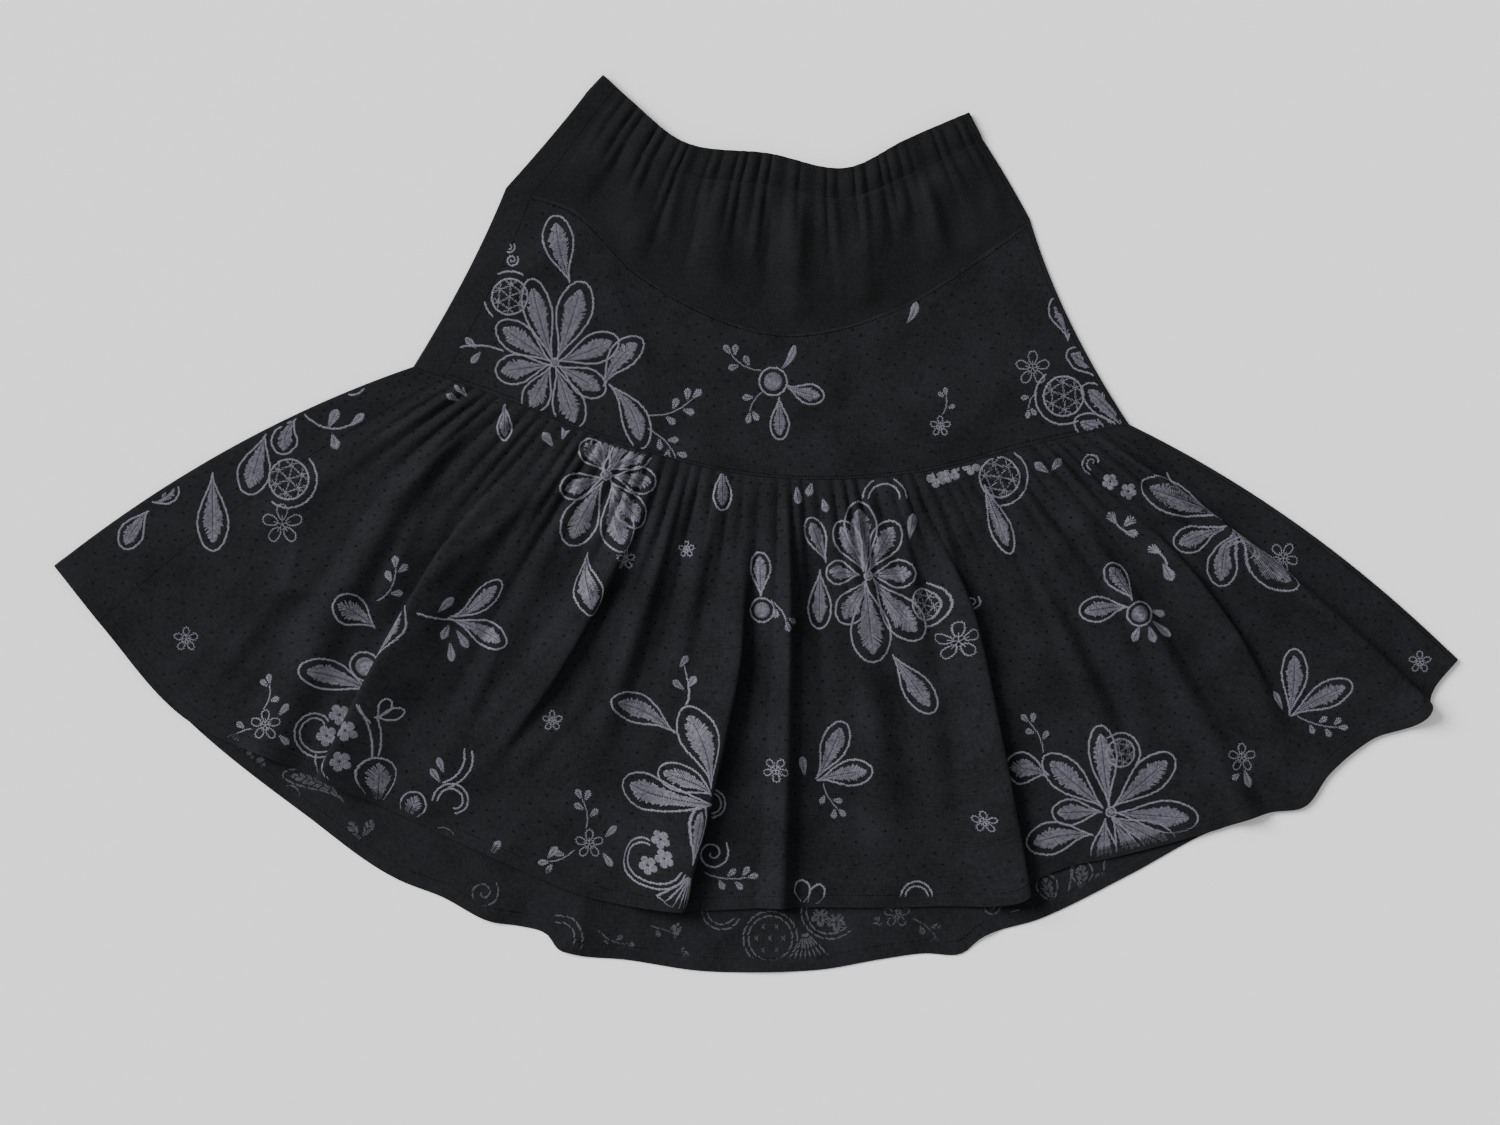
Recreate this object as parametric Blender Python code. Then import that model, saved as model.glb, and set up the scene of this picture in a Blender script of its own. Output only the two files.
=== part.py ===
"""Knee-length tiered skirt of thin cotton, laid flat with its front up.

The skirt is a flattened tube. Five seam rows run across it: waist, casing, yoke, flounce and hem. A tier
is the cloth between two rows, and a point on it is found by its share of the row's length and its share
of the way down the tier. Front and back of a tier are walls of even thickness, with gathers and folds as
waves in their height. The back wraps up round both side folds, and its left seam shows on the front.
"""

from collections import namedtuple

import bpy
import numpy as np

# Driving sizes, in metres
CLOTH = 0.0010
CASING = 0.0024
SEAM_GAP = 0.0003
LAYER_GAP = 0.0007
LEFT_SEAM_SHARE = 0.045
RIGHT_SEAM_INSET = 0.004
EDGE_CALM = 0.035
CURVE_STEPS = 400
SLANT_ALLOWANCE = 1.4
FOLD_RISE = 0.30
FOLD_FALL = 0.35

# Rows across the skirt, as points in millimetres from the middle of the laid-out garment
Row = namedtuple("Row", "front back")
HEM_RIGHT = [(365, -245), (412, -230), (438, -226), (458, -200), (492, -172), (534, -154), (541, -133), (561, -108)]
ROWS = {
    "waist": Row(
        front=[(-122, 359), (-97, 336), (-61, 307), (11, 296), (74, 285), (119, 307), (170, 329)],
        back=[(-122, 359), (-97, 336), (-61, 307), (11, 296), (74, 285), (119, 307), (170, 329)]),
    "casing": Row(
        front=[(-138, 342), (-110, 314), (-69, 284), (7, 272), (74, 262), (127, 282), (181, 308)],
        back=[(-138, 342), (-110, 314), (-69, 284), (7, 272), (74, 262), (127, 282), (181, 308)]),
    "yoke": Row(
        front=[(-200, 269), (-149, 254), (-93, 201), (27, 153), (115, 175), (175, 212), (219, 244)],
        back=[(-200, 269), (-100, 222), (20, 205), (130, 218), (219, 244)]),
    "flounce": Row(
        front=[(-274, 126), (-198, 99), (-114, 66), (8, 38), (132, 42), (222, 64), (298, 80)],
        back=[(-274, 126), (-150, 62), (8, 30), (160, 40), (298, 80)]),
    "hem": Row(
        front=[(-561, -33), (-522, -82), (-455, -156), (-370, -194), (-304, -223), (-202, -270), (-130, -299),
               (-62, -308), (20, -306), (142, -305), (227, -296), (281, -268)] + HEM_RIGHT,
        back=[(-561, -33), (-522, -82), (-455, -156), (-362, -231), (-282, -288), (-174, -325), (-102, -350),
              (9, -359), (100, -350), (171, -338), (227, -315), (299, -280)] + HEM_RIGHT),
}

# Tiers between rows; a bulge moves the side outline halfway down, in millimetres
Tier = namedtuple("Tier", "top bottom thickness left_bulge right_bulge")
TIERS = {
    "casing": Tier("waist", "casing", CASING, (0, 0), (0, 0)),
    "yoke": Tier("casing", "yoke", CLOTH, (2, 1), (1, 0)),
    "hip": Tier("yoke", "flounce", CLOTH, (5, 2), (-8, 1)),
    "flounce": Tier("flounce", "hem", CLOTH, (-4, 14), (5, 13)),
}

# Room that the back's gathers need under the front, in millimetres at each row
BACK_LIFT = {"waist": 1.2, "casing": 1.2, "yoke": 0.0, "flounce": 1.8, "hem": 0.8}

# Small gathers of a tier, which slow sways make uneven: how many, their heights in millimetres on top, at the bloom and at the fade
Gathers = namedtuple("Gathers", "count top bloom bloom_at fade_at drift")
Sway = namedtuple("Sway", "size turns drifts")
SWAYS = [Sway(1.1, 14.0, 1.0), Sway(0.7, 37.0, 2.0)]
FRONT_GATHERS = {
    "casing": [Gathers(32, 1.6, 2.6, 0.5, 2.0, 1.3)],
    "yoke": [Gathers(32, 1.6, 2.4, 0.10, 0.55, 1.3), Gathers(11, 0.2, 3.0, 0.30, 1.0, 0.4)],
    "hip": [],
    "flounce": [Gathers(54, 1.4, 3.6, 0.07, 0.42, 2.1), Gathers(19, 0.2, 4.0, 0.30, 1.0, 0.7)],
}
BACK_GATHERS = {
    "casing": [Gathers(32, 1.0, 1.2, 0.5, 3.0, 2.4)],
    "yoke": [Gathers(32, 1.0, 1.1, 0.10, 0.5, 2.4)],
    "hip": [],
    "flounce": [Gathers(40, 1.2, 1.7, 0.05, 0.30, 1.7)],
}

# Large folds: where each crosses the tier's top and bottom row as a share of its length, its half width
# and height in millimetres, how far its crest leans to the right as a share of the half width, and where
# down the tier it starts and ends
Fold = namedtuple("Fold", "name top bottom width_top width_bottom height lean start end")
FLOUNCE_FRONT_FOLDS = [
    Fold("left_ridge", 0.112, 0.182, 9, 34, 8, 0, 0.00, 1.4),
    Fold("left_lap", 0.205, 0.238, 17, 30, 13, -0.76, 0.14, 1.4),
    Fold("flower_edge", 0.360, 0.294, 9, 22, 10, 0.62, 0.05, 0.9),
    Fold("second_ridge", 0.398, 0.375, 8, 22, 6, 0, 0.00, 0.8),
    Fold("middle_ridge", 0.436, 0.428, 8, 16, 6, 0, 0.00, 0.5),
    Fold("deep_pleat", 0.484, 0.439, 13, 32, 14, 0.80, 0.16, 1.4),
    Fold("standing_pleat", 0.531, 0.520, 7, 17, 12, 0.20, 0.02, 1.4),
    Fold("panel_band", 0.600, 0.595, 8, 30, 5, 0, 0.30, 1.0),
    Fold("panel_crease", 0.672, 0.620, 7, 17, 5, 0, 0.00, 0.5),
    Fold("panel_edge", 0.703, 0.658, 13, 27, 13, 0.88, 0.10, 1.4),
    Fold("right_soft", 0.790, 0.760, 7, 22, 5, 0, 0.15, 1.0),
    Fold("hem_ridge", 0.850, 0.826, 8, 20, 7, 0, 0.10, 1.4),
    Fold("right_lap", 0.900, 0.869, 11, 24, 11, 0.70, 0.18, 0.95),
    Fold("right_ridge", 0.925, 0.930, 8, 14, 5, 0, 0.00, 0.5),
    Fold("right_fold", 0.944, 0.957, 6, 17, 10, 0.50, 0.00, 1.4),
]
FLOUNCE_BACK_FOLDS = [
    Fold("back_left", 0.345, 0.345, 16, 20, 4, 0, 0.88, 1.4),
    Fold("back_step", 0.400, 0.400, 14, 18, 4, -0.40, 0.88, 1.4),
    Fold("back_middle", 0.520, 0.520, 22, 30, 3, 0, 0.88, 1.4),
    Fold("back_right", 0.655, 0.655, 14, 18, 4, 0.40, 0.88, 1.4),
]

# Stations across the front of a tier, and shares of the way down where the mesh has a row
COLUMNS = {"casing": 128, "yoke": 64, "hip": 30, "flounce": 110}
LEVELS = {
    "casing": [0.0, 1.0],
    "yoke": [0.0, 0.10, 0.28, 0.52, 0.76, 1.0],
    "hip": [0.0, 0.22, 0.48, 0.74, 0.92, 1.0],
    "flounce": [0.0, 0.04, 0.11, 0.19, 0.28, 0.39, 0.53, 0.69, 0.86, 1.0],
}
FINE_LEVELS = 4
BACK_COLUMNS = {"casing": 128, "yoke": 40, "hip": 24, "flounce": 72}
BACK_FINE_LEVELS = 2
ARC_ANGLES = np.radians([65.0, 35.0, 0.0, -35.0, -65.0])

# Colour of the cloth, near black with a blue cast
CLOTH_COLOR = (0.0125, 0.0135, 0.0175, 1.0)


def smooth_step(value, low, high):
    """Rise softly from 0 at low to 1 at high."""
    share = np.clip((value - low) / (high - low), 0.0, 1.0)
    return share * share * (3.0 - 2.0 * share)


def even_curve(points):
    """Evenly spaced points, in metres, on a smooth curve through the given ones."""
    knots = np.array(points, dtype=float) / 1000.0
    chord = np.concatenate([[0.0], np.cumsum(np.linalg.norm(np.diff(knots, axis=0), axis=1))])
    slope = np.gradient(knots, chord, axis=0)
    along = np.linspace(0.0, chord[-1], CURVE_STEPS)
    piece = np.clip(np.searchsorted(chord, along, side="right") - 1, 0, len(knots) - 2)
    step = (chord[piece + 1] - chord[piece])[:, None]
    share = (along - chord[piece])[:, None] / step
    ease = share * share * (3.0 - 2.0 * share)
    start_pull = share * (1.0 - share) ** 2 * step * slope[piece]
    end_pull = share * share * (share - 1.0) * step * slope[piece + 1]
    curve = knots[piece] * (1.0 - ease) + knots[piece + 1] * ease + start_pull + end_pull
    length = np.concatenate([[0.0], np.cumsum(np.linalg.norm(np.diff(curve, axis=0), axis=1))])
    even = np.linspace(0.0, length[-1], CURVE_STEPS)
    return np.stack([np.interp(even, length, curve[:, axis]) for axis in range(2)], axis=1)


CURVES = {name: {"front": even_curve(row.front), "back": even_curve(row.back)} for name, row in ROWS.items()}


def curve_length(curve):
    return np.linalg.norm(np.diff(curve, axis=0), axis=1).sum()


def curve_point(curve, share):
    """Plan position at a share of a curve's length."""
    steps = np.linspace(0.0, 1.0, CURVE_STEPS)
    return np.stack([np.interp(share, steps, curve[:, axis]) for axis in range(2)], axis=-1)


def plan_point(tier, side, share, level):
    """Plan position on one side of a tier, at a share across it and a level down it."""
    top = curve_point(CURVES[tier.top][side], share)
    bottom = curve_point(CURVES[tier.bottom][side], share)
    arch = 4.0 * level * (1.0 - level)
    left = np.array(tier.left_bulge) / 1000.0 * arch * ((1.0 - share) ** 4)[..., None]
    right = np.array(tier.right_bulge) / 1000.0 * arch * (share ** 4)[..., None]
    return top * (1.0 - level) + bottom * level + left + right


def row_length(tier, side, level):
    top = curve_length(CURVES[tier.top][side])
    bottom = curve_length(CURVES[tier.bottom][side])
    return top * (1.0 - level) + bottom * level


def gather_height(gathers, share, level):
    """Height of one set of gathers: uneven waves that bloom below the seam and fade further down."""
    g = gathers
    uneven = sum(sway.size * np.sin(sway.turns * share + sway.drifts * g.drift) for sway in SWAYS)
    wave = 0.5 + 0.5 * np.sin(2.0 * np.pi * g.count * share + uneven)
    strength = 0.72 + 0.28 * np.sin(23.0 * share + 3.0 * g.drift)
    if level < g.bloom_at:
        height = g.top + (g.bloom - g.top) * smooth_step(level, 0.0, g.bloom_at)
    else:
        height = g.bloom * (1.0 - smooth_step(level, g.bloom_at, g.fade_at))
    return wave * strength * height / 1000.0


def fold_place(fold, level):
    """Share across at which a fold crosses a level, and its half width there in metres."""
    share = fold.top + (fold.bottom - fold.top) * level
    width = (fold.width_top + (fold.width_bottom - fold.width_top) * level) / 1000.0
    return share, width


def fold_strength(fold, level):
    rise = smooth_step(level, fold.start - 0.02, fold.start + FOLD_RISE)
    fall = 1.0 - smooth_step(level, fold.end - FOLD_FALL, fold.end)
    return rise * fall


def fold_shape(folds, share, level, length):
    """Height of the large folds, how far their lean carries each point sideways, and how far they lap."""
    height = np.zeros_like(share)
    shift = np.zeros_like(share)
    lap = np.zeros_like(share)
    for fold in folds:
        centre, width = fold_place(fold, level)
        away = np.clip((share - centre) * length / width, -1.0, 1.0)
        bump = np.cos(0.5 * np.pi * away) ** 2 * fold_strength(fold, level)
        height += bump * fold.height / 1000.0
        shift += bump * fold.lean * width
        lap += bump * abs(fold.lean)
    return height, shift, np.minimum(lap, 1.0)


def calm_near_seams(share):
    """Share of the waves' height that is left: none beside the side seams and on the side folds."""
    left = smooth_step(share, LEFT_SEAM_SHARE, LEFT_SEAM_SHARE + EDGE_CALM)
    right = 1.0 - smooth_step(share, 1.0 - EDGE_CALM, 1.0 - 0.2 * EDGE_CALM)
    return left * right


def back_height(name, share, level):
    """Height of the back's mid surface: it lies on the table and only rises from it."""
    tier = TIERS[name]
    calm = calm_near_seams(share)
    waves = sum((gather_height(g, share, level) for g in BACK_GATHERS[name]), np.zeros_like(share))
    shift = np.zeros_like(share)
    if name == "flounce":
        folds, shift, lap = fold_shape(FLOUNCE_BACK_FOLDS, share, level, row_length(tier, "back", level))
        waves = waves * (1.0 - lap) + folds
    return 0.5 * tier.thickness + waves * calm, shift * calm


def front_height(name, share, level):
    """Height of the front's mid surface, clear of the back below it."""
    tier = TIERS[name]
    calm = calm_near_seams(share)
    ease = smooth_step(level, 0.0, 1.0)
    lift = (BACK_LIFT[tier.top] * (1.0 - ease) + BACK_LIFT[tier.bottom] * ease) / 1000.0
    waves = sum((gather_height(g, share, level) for g in FRONT_GATHERS[name]), np.zeros_like(share))
    shift = np.zeros_like(share)
    if name == "flounce":
        folds, shift, lap = fold_shape(FLOUNCE_FRONT_FOLDS, share, level, row_length(tier, "front", level))
        waves = waves * (1.0 - lap) + folds
    return 1.5 * tier.thickness + LAYER_GAP + lift + waves * calm, shift * calm


def side_surface(name, side, share, level):
    """Points of one side's mid surface, and the level direction of the way down, for one level."""
    tier = TIERS[name]
    plan = plan_point(tier, side, share, level)
    below = plan_point(tier, side, share, min(level + 0.01, 1.0))
    above = plan_point(tier, side, share, max(level - 0.01, 0.0))
    down = (below - above) / np.linalg.norm(below - above, axis=1)[:, None]
    across = np.gradient(plan, axis=0)
    across = across / np.maximum(np.linalg.norm(across, axis=1), 1e-9)[:, None]
    height, shift = (front_height if side == "front" else back_height)(name, share, level)
    return np.column_stack([plan + across * shift[:, None], height]), down


def crowded_shares(name, folds, side, level, first, last, count):
    """Shares across a level, closer together where a large fold leans."""
    fine = np.linspace(0.0, 1.0, 2001)
    density = np.ones_like(fine)
    length = row_length(TIERS[name], side, level)
    for fold in folds:
        centre, width = fold_place(fold, level)
        steepness = abs(fold.lean) + 0.5 * fold.height / (1000.0 * width)
        boost = 1.5 * steepness * fold_strength(fold, level)
        density += boost * np.exp(-((fine - centre) * length / (1.1 * width)) ** 2)
    filled = np.concatenate([[0.0], np.cumsum(0.5 * (density[1:] + density[:-1]))])
    low, high = np.interp([first, last], fine, filled)
    return np.interp(np.linspace(low, high, count + 1), filled, fine)


def trimmed(tier, levels):
    """The levels of a tier, with half a seam gap taken off at its top and bottom."""
    top = curve_point(CURVES[tier.top]["front"], np.array([0.5]))
    bottom = curve_point(CURVES[tier.bottom]["front"], np.array([0.5]))
    trim = 0.5 * SEAM_GAP / np.linalg.norm(bottom - top)
    inner = [level for level in levels if 0.0 < level < 1.0]
    last = 1.0 if tier.bottom == "hem" else 1.0 - trim * SLANT_ALLOWANCE
    first = 0.0 if tier.top == "waist" else trim * SLANT_ALLOWANCE
    return [first] + inner + [last]


def front_rows(name):
    """Mid surface and way down for each level of a front panel, from its left seam to its right one."""
    tier = TIERS[name]
    folds = FLOUNCE_FRONT_FOLDS if name == "flounce" else []
    rows = []
    for index, level in enumerate(trimmed(tier, LEVELS[name])):
        length = row_length(tier, "front", level)
        first = LEFT_SEAM_SHARE + 0.5 * SEAM_GAP / length
        last = 1.0 - (RIGHT_SEAM_INSET + 0.5 * SEAM_GAP) / length
        fine = name == "flounce" and index < FINE_LEVELS
        count = COLUMNS[name] * (2 if fine else 1)
        share = crowded_shares(name, folds, "front", level, first, last, count)
        points, down = side_surface(name, "front", share, level)
        rows.append((points, -down))
    return rows


def with_midpoints(values):
    """The values with one more halfway between each two."""
    places = np.arange(len(values))
    return np.interp(np.linspace(0, len(values) - 1, 2 * len(values) - 1), places, values)


def back_rows(name):
    """The same for a back panel, which starts on the front, goes under and comes up at the right."""
    tier = TIERS[name]
    rows = []
    for index, level in enumerate(trimmed(tier, LEVELS[name])):
        front_length = row_length(tier, "front", level)
        back_length = row_length(tier, "back", level)
        edge = np.zeros(1)
        radius = 0.5 * (front_height(name, edge, level)[0][0] - back_height(name, edge, level)[0][0])
        inset = 0.5 * tier.thickness + radius * (1.0 - np.cos(ARC_ANGLES))
        turn = 0.5 * tier.thickness + radius
        count = BACK_COLUMNS[name]
        on_front = np.linspace(LEFT_SEAM_SHARE - 0.5 * SEAM_GAP / front_length, turn / front_length, 5)
        under = np.linspace(turn / back_length, 1.0 - turn / back_length, count + 1)
        last = np.array([1.0 - turn / front_length, 1.0 - (RIGHT_SEAM_INSET - 0.5 * SEAM_GAP) / front_length])
        upper = inset[ARC_ANGLES >= 0] / front_length
        lower = inset[ARC_ANGLES < 0] / back_length
        share = np.concatenate([on_front, upper, lower, under, 1.0 - lower[::-1], 1.0 - upper[::-1], last])
        swing = np.concatenate([np.ones(5), np.sin(ARC_ANGLES), -np.ones(count + 1), np.sin(ARC_ANGLES[::-1]),
                                np.ones(2)])
        if name == "flounce" and index < BACK_FINE_LEVELS:
            share = with_midpoints(share)
            swing = with_midpoints(swing)
        is_front = swing >= 0.0
        front, front_down = side_surface(name, "front", share, level)
        back, back_down = side_surface(name, "back", share, level)
        points = np.where(is_front[:, None], front, back)
        points[:, 2] = back[:, 2] + (front[:, 2] - back[:, 2]) * (swing + 1.0) / 2.0
        down = np.where(is_front[:, None], front_down, back_down)
        rows.append((points, down))
    return rows


def wall_faces(rows):
    """Corner numbers of one skin, from the mid surface, so that both skins are cut along the same diagonals.

    A square between equal rows is cut along its shorter diagonal; where the count halves, triangles come in threes."""
    faces = []
    start = 0
    for upper, lower in zip(rows[:-1], rows[1:]):
        below = start + len(upper)
        if len(upper) == len(lower):
            falling = np.linalg.norm(upper[:-1] - lower[1:], axis=1)
            rising = np.linalg.norm(upper[1:] - lower[:-1], axis=1)
            for i in range(len(upper) - 1):
                a, b, c, d = start + i, start + i + 1, below + i + 1, below + i
                faces += [(a, b, c), (a, c, d)] if falling[i] < rising[i] else [(a, b, d), (b, c, d)]
        else:
            for i in range(len(lower) - 1):
                a = start + 2 * i
                b = below + i
                faces += [(a, a + 1, b), (a + 1, b + 1, b), (a + 1, a + 2, b + 1)]
        start = below
    return faces


def wall_rim(rows):
    """Corner numbers round the border of a skin."""
    starts = np.concatenate([[0], np.cumsum([len(row) for row in rows])]).astype(int)
    top = list(range(starts[0], starts[1]))
    right = [starts[i + 1] - 1 for i in range(1, len(rows))]
    bottom = list(range(starts[-2], starts[-1] - 1))[::-1]
    left = [starts[i] for i in range(1, len(rows) - 1)][::-1]
    return top + right + bottom + left


def build_wall(node, rows, thickness, leftwards):
    """A closed wall of even thickness about a mid surface given row by row.

    The first columns of a row run rightwards on the front's top, or leftwards on a back's."""
    outer = []
    inner = []
    for points, down in rows:
        across = np.gradient(points, axis=0)
        way = np.column_stack([down, np.zeros(len(down))])
        out = np.cross(across, way)
        out = out / np.linalg.norm(out, axis=1)[:, None]
        outer.append(points + out * 0.5 * thickness)
        inner.append(points - out * 0.5 * thickness)
    corners = np.concatenate(outer + inner)
    offset = sum(len(row) for row in outer)
    skin = wall_faces([points for points, down in rows])
    faces = skin + [tuple(offset + corner for corner in face[::-1]) for face in skin]
    rim = wall_rim(outer)
    for here, after in zip(rim, rim[1:] + rim[:1]):
        faces.append((after, here, offset + here, offset + after))
    if not leftwards:
        faces = [face[::-1] for face in faces]
    mesh = bpy.data.meshes.new(node)
    mesh.from_pydata(corners.tolist(), [], [[int(corner) for corner in face] for face in faces])
    mesh.update()
    mesh.shade_smooth()
    mesh.set_sharp_from_angle(angle=np.radians(50.0))
    mesh.materials.append(cloth_material(node))
    wall = bpy.data.objects.new(node, mesh)
    bpy.context.scene.collection.objects.link(wall)
    return wall


def cloth_material(node):
    material = bpy.data.materials.new(node)
    material.use_nodes = True
    shader = material.node_tree.nodes["Principled BSDF"]
    shader.inputs["Base Color"].default_value = CLOTH_COLOR
    shader.inputs["Roughness"].default_value = 0.85
    shader.inputs["Metallic"].default_value = 0.0
    return material


def clear_scene():
    for thing in list(bpy.data.objects):
        bpy.data.objects.remove(thing, do_unlink=True)


def build_skirt():
    for name, tier in TIERS.items():
        build_wall(name + "_front", front_rows(name), tier.thickness, False)
        build_wall(name + "_back", back_rows(name), tier.thickness, True)


clear_scene()
build_skirt()
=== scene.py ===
"""Knee-length tiered cotton skirt, laid flat on a pale table with its front up and seen from straight above.

The skirt is a flattened tube crossed by five seam rows: waist, casing, yoke, flounce and hem. A tier is the
cloth between two rows. A point on it is its share of the way along the row and its level down the tier,
and its height adds up gathers, folds and creases. The frame's solids have the same rows, gathers and folds.
Only a few points of the two hems differ, and the gathers are deeper and more uneven here.
"""

from collections import namedtuple

import bpy
import numpy as np
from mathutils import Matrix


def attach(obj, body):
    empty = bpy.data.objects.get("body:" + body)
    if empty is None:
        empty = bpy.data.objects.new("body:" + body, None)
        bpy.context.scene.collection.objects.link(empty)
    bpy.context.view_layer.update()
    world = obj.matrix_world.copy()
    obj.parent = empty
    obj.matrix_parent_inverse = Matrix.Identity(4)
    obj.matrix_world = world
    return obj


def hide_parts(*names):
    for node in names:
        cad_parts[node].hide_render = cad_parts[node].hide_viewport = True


RANDOM = np.random.default_rng(7)
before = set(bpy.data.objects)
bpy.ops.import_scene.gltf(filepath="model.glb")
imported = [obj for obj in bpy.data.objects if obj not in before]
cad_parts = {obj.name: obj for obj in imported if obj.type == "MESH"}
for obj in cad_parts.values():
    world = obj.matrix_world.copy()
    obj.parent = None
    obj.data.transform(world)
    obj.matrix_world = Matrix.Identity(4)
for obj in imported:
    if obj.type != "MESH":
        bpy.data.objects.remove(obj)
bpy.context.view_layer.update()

# Photograph: its size in pixels, the pixel at the origin, metres for each pixel and pixels to the
# metre; and the camera above it
PHOTO_WIDTH, PHOTO_HEIGHT = 1500, 1125
PHOTO_ORIGIN_X, PHOTO_ORIGIN_Y = 756.0, 524.5
METRES_PER_PIXEL = 0.0008
PIXELS = 1.0 / METRES_PER_PIXEL
CAMERA_HEIGHT = 2.4
SENSOR_WIDTH = 36.0

# Light: a soft sun from the upper left, in degrees above the table and round from the camera's foot, and
# a pale sky
KEY_STRENGTH = 5.4
KEY_SOFTNESS = 32.0
KEY_ELEVATION = 34.0
KEY_AZIMUTH = -119.0
SKY_STRENGTH = 0.58

# Floor: its size and how far it lies below the cloth, in metres, its shade and its roughness
FLOOR_SIZE = 6.0
FLOOR_DROP = 0.0002
FLOOR_SHADE = 0.93
FLOOR_ROUGHNESS = 0.9

# Sizes of the solids, in metres; shares along a row of the left seam's place and of the strip beside a side
# seam where the waves die out, and how much of that strip is quite flat at the right; points along a row
CLOTH = 0.0010
CASING = 0.0024
LAYER_GAP = 0.0007
SEAM_GAP = 0.0003
LEFT_SEAM_SHARE = 0.045
RIGHT_SEAM_INSET = 0.004
EDGE_CALM = 0.035
FLAT_RIGHT = 0.2
CURVE_STEPS = 400

# Power that narrows the valleys between the gathers, and how much deeper than the solids' they show
GATHER_SHARPNESS = 0.65
GATHER_DEPTH = 1.12

# Unevenness of the gathers' spacing and height: each wave's strength, count across and multiple of the drift
SPACING_WAVES = ((1.1, 14.0, 1.0), (0.7, 37.0, 2.0), (0.8, 89.0, 1.0))
HEIGHT_WAVES = ((0.22, 23.0, 3.0), (0.18, 71.0, 1.0))
MEAN_HEIGHT = 0.64

# How far above and below its start a fold rises, and above its end it falls, as levels
FOLD_LEAD, FOLD_RISE, FOLD_FALL = 0.02, 0.30, 0.35

# Hem fold: the level where it starts, how softly, and how much it adds to the cloth's thickness
HEM_START = 0.977
HEM_SLOPE = 0.004
HEM_THICKNESS = 0.0005

# Levels of the rows of stitches: down the casing, by the hip's two seams and above the hem fold
CASING_STITCHES = 0.90
YOKE_SEAM_STITCHES = 0.025
FLOUNCE_SEAM_STITCHES = 0.98
HEM_STITCHES = 0.972

# Thickness of the cloth that shows, and of the casing round its elastic, which thins from a level downwards;
# how far the casing's lower edge comes down and the yoke's upper edge rises to meet it, down to a level; and
# what a tier loses at a seam, as a share of its length
THIN = 0.0006
THICK = 0.0016
CASING_THINS = 0.8
CASING_DROP = 0.0012
CASING_DROP_START = 0.5
YOKE_RISE = 0.0008
YOKE_RISE_END = 0.08
TRIM = 0.0007

# Folded side edges: the angle that the fold turns through each way, and the points along each of its parts
EDGE_ANGLE = 80.0
EDGE_POINTS = 9
RIGHT_POINTS = 3

# Angle in degrees past which an edge of the cloth looks sharp
SHARP_ANGLE = 60.0

# Rows across the skirt, as points in millimetres from the middle of the laid-out garment; the front's and the
# back's are the same at the waist, at the casing's seam and at the right of the hem
MILLIMETRES = 1000.0
Row = namedtuple("Row", "front back")
WAIST = [(-122, 359), (-97, 336), (-61, 307), (11, 296), (74, 285), (119, 307), (170, 329)]
CASING_SEAM = [(-138, 342), (-110, 314), (-69, 284), (7, 272), (74, 262), (127, 282), (181, 308)]
HEM_RIGHT = [(365, -245), (412, -230), (438, -226), (458, -200), (492, -172), (534, -154), (541, -133),
             (561, -108)]
ROWS = {
    "waist": Row(front=WAIST, back=WAIST),
    "casing": Row(front=CASING_SEAM, back=CASING_SEAM),
    "yoke": Row(
        front=[(-200, 269), (-149, 254), (-93, 201), (27, 153), (115, 175), (175, 212), (219, 244)],
        back=[(-200, 269), (-100, 222), (20, 205), (130, 218), (219, 244)]),
    "flounce": Row(
        front=[(-274, 126), (-198, 99), (-114, 66), (8, 38), (132, 42), (222, 64), (298, 80)],
        back=[(-274, 126), (-150, 62), (8, 30), (160, 40), (298, 80)]),
    "hem": Row(
        front=[(-561, -33), (-522, -82), (-455, -156), (-370, -194), (-304, -223), (-202, -270), (-130, -299),
               (-62, -308), (20, -306), (142, -305), (203, -300), (228, -282), (252, -273), (281, -267),
               *HEM_RIGHT],
        back=[(-561, -33), (-522, -82), (-455, -156), (-362, -231), (-282, -286), (-253, -297), (-211, -318),
              (-190, -321), (-167, -328), (-158, -340), (-145, -344), (-105, -348), (-45, -357), (9, -358),
              (52, -356), (98, -348), (133, -343), (167, -342), (177, -333), (228, -315), (299, -280),
              *HEM_RIGHT]),
}

# Tiers between rows; a bulge moves the side outline halfway down, in millimetres
Tier = namedtuple("Tier", "top bottom thickness left_bulge right_bulge")
TIERS = {
    "casing": Tier("waist", "casing", CASING, (0, 0), (0, 0)),
    "yoke": Tier("casing", "yoke", CLOTH, (2, 1), (1, 0)),
    "hip": Tier("yoke", "flounce", CLOTH, (5, 2), (-8, 1)),
    "flounce": Tier("flounce", "hem", CLOTH, (-4, 14), (5, 13)),
}

# Room that the back's gathers need under the front, in millimetres at each row
BACK_LIFT = {"waist": 1.2, "casing": 1.2, "yoke": 0.0, "flounce": 1.8, "hem": 0.8}

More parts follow.
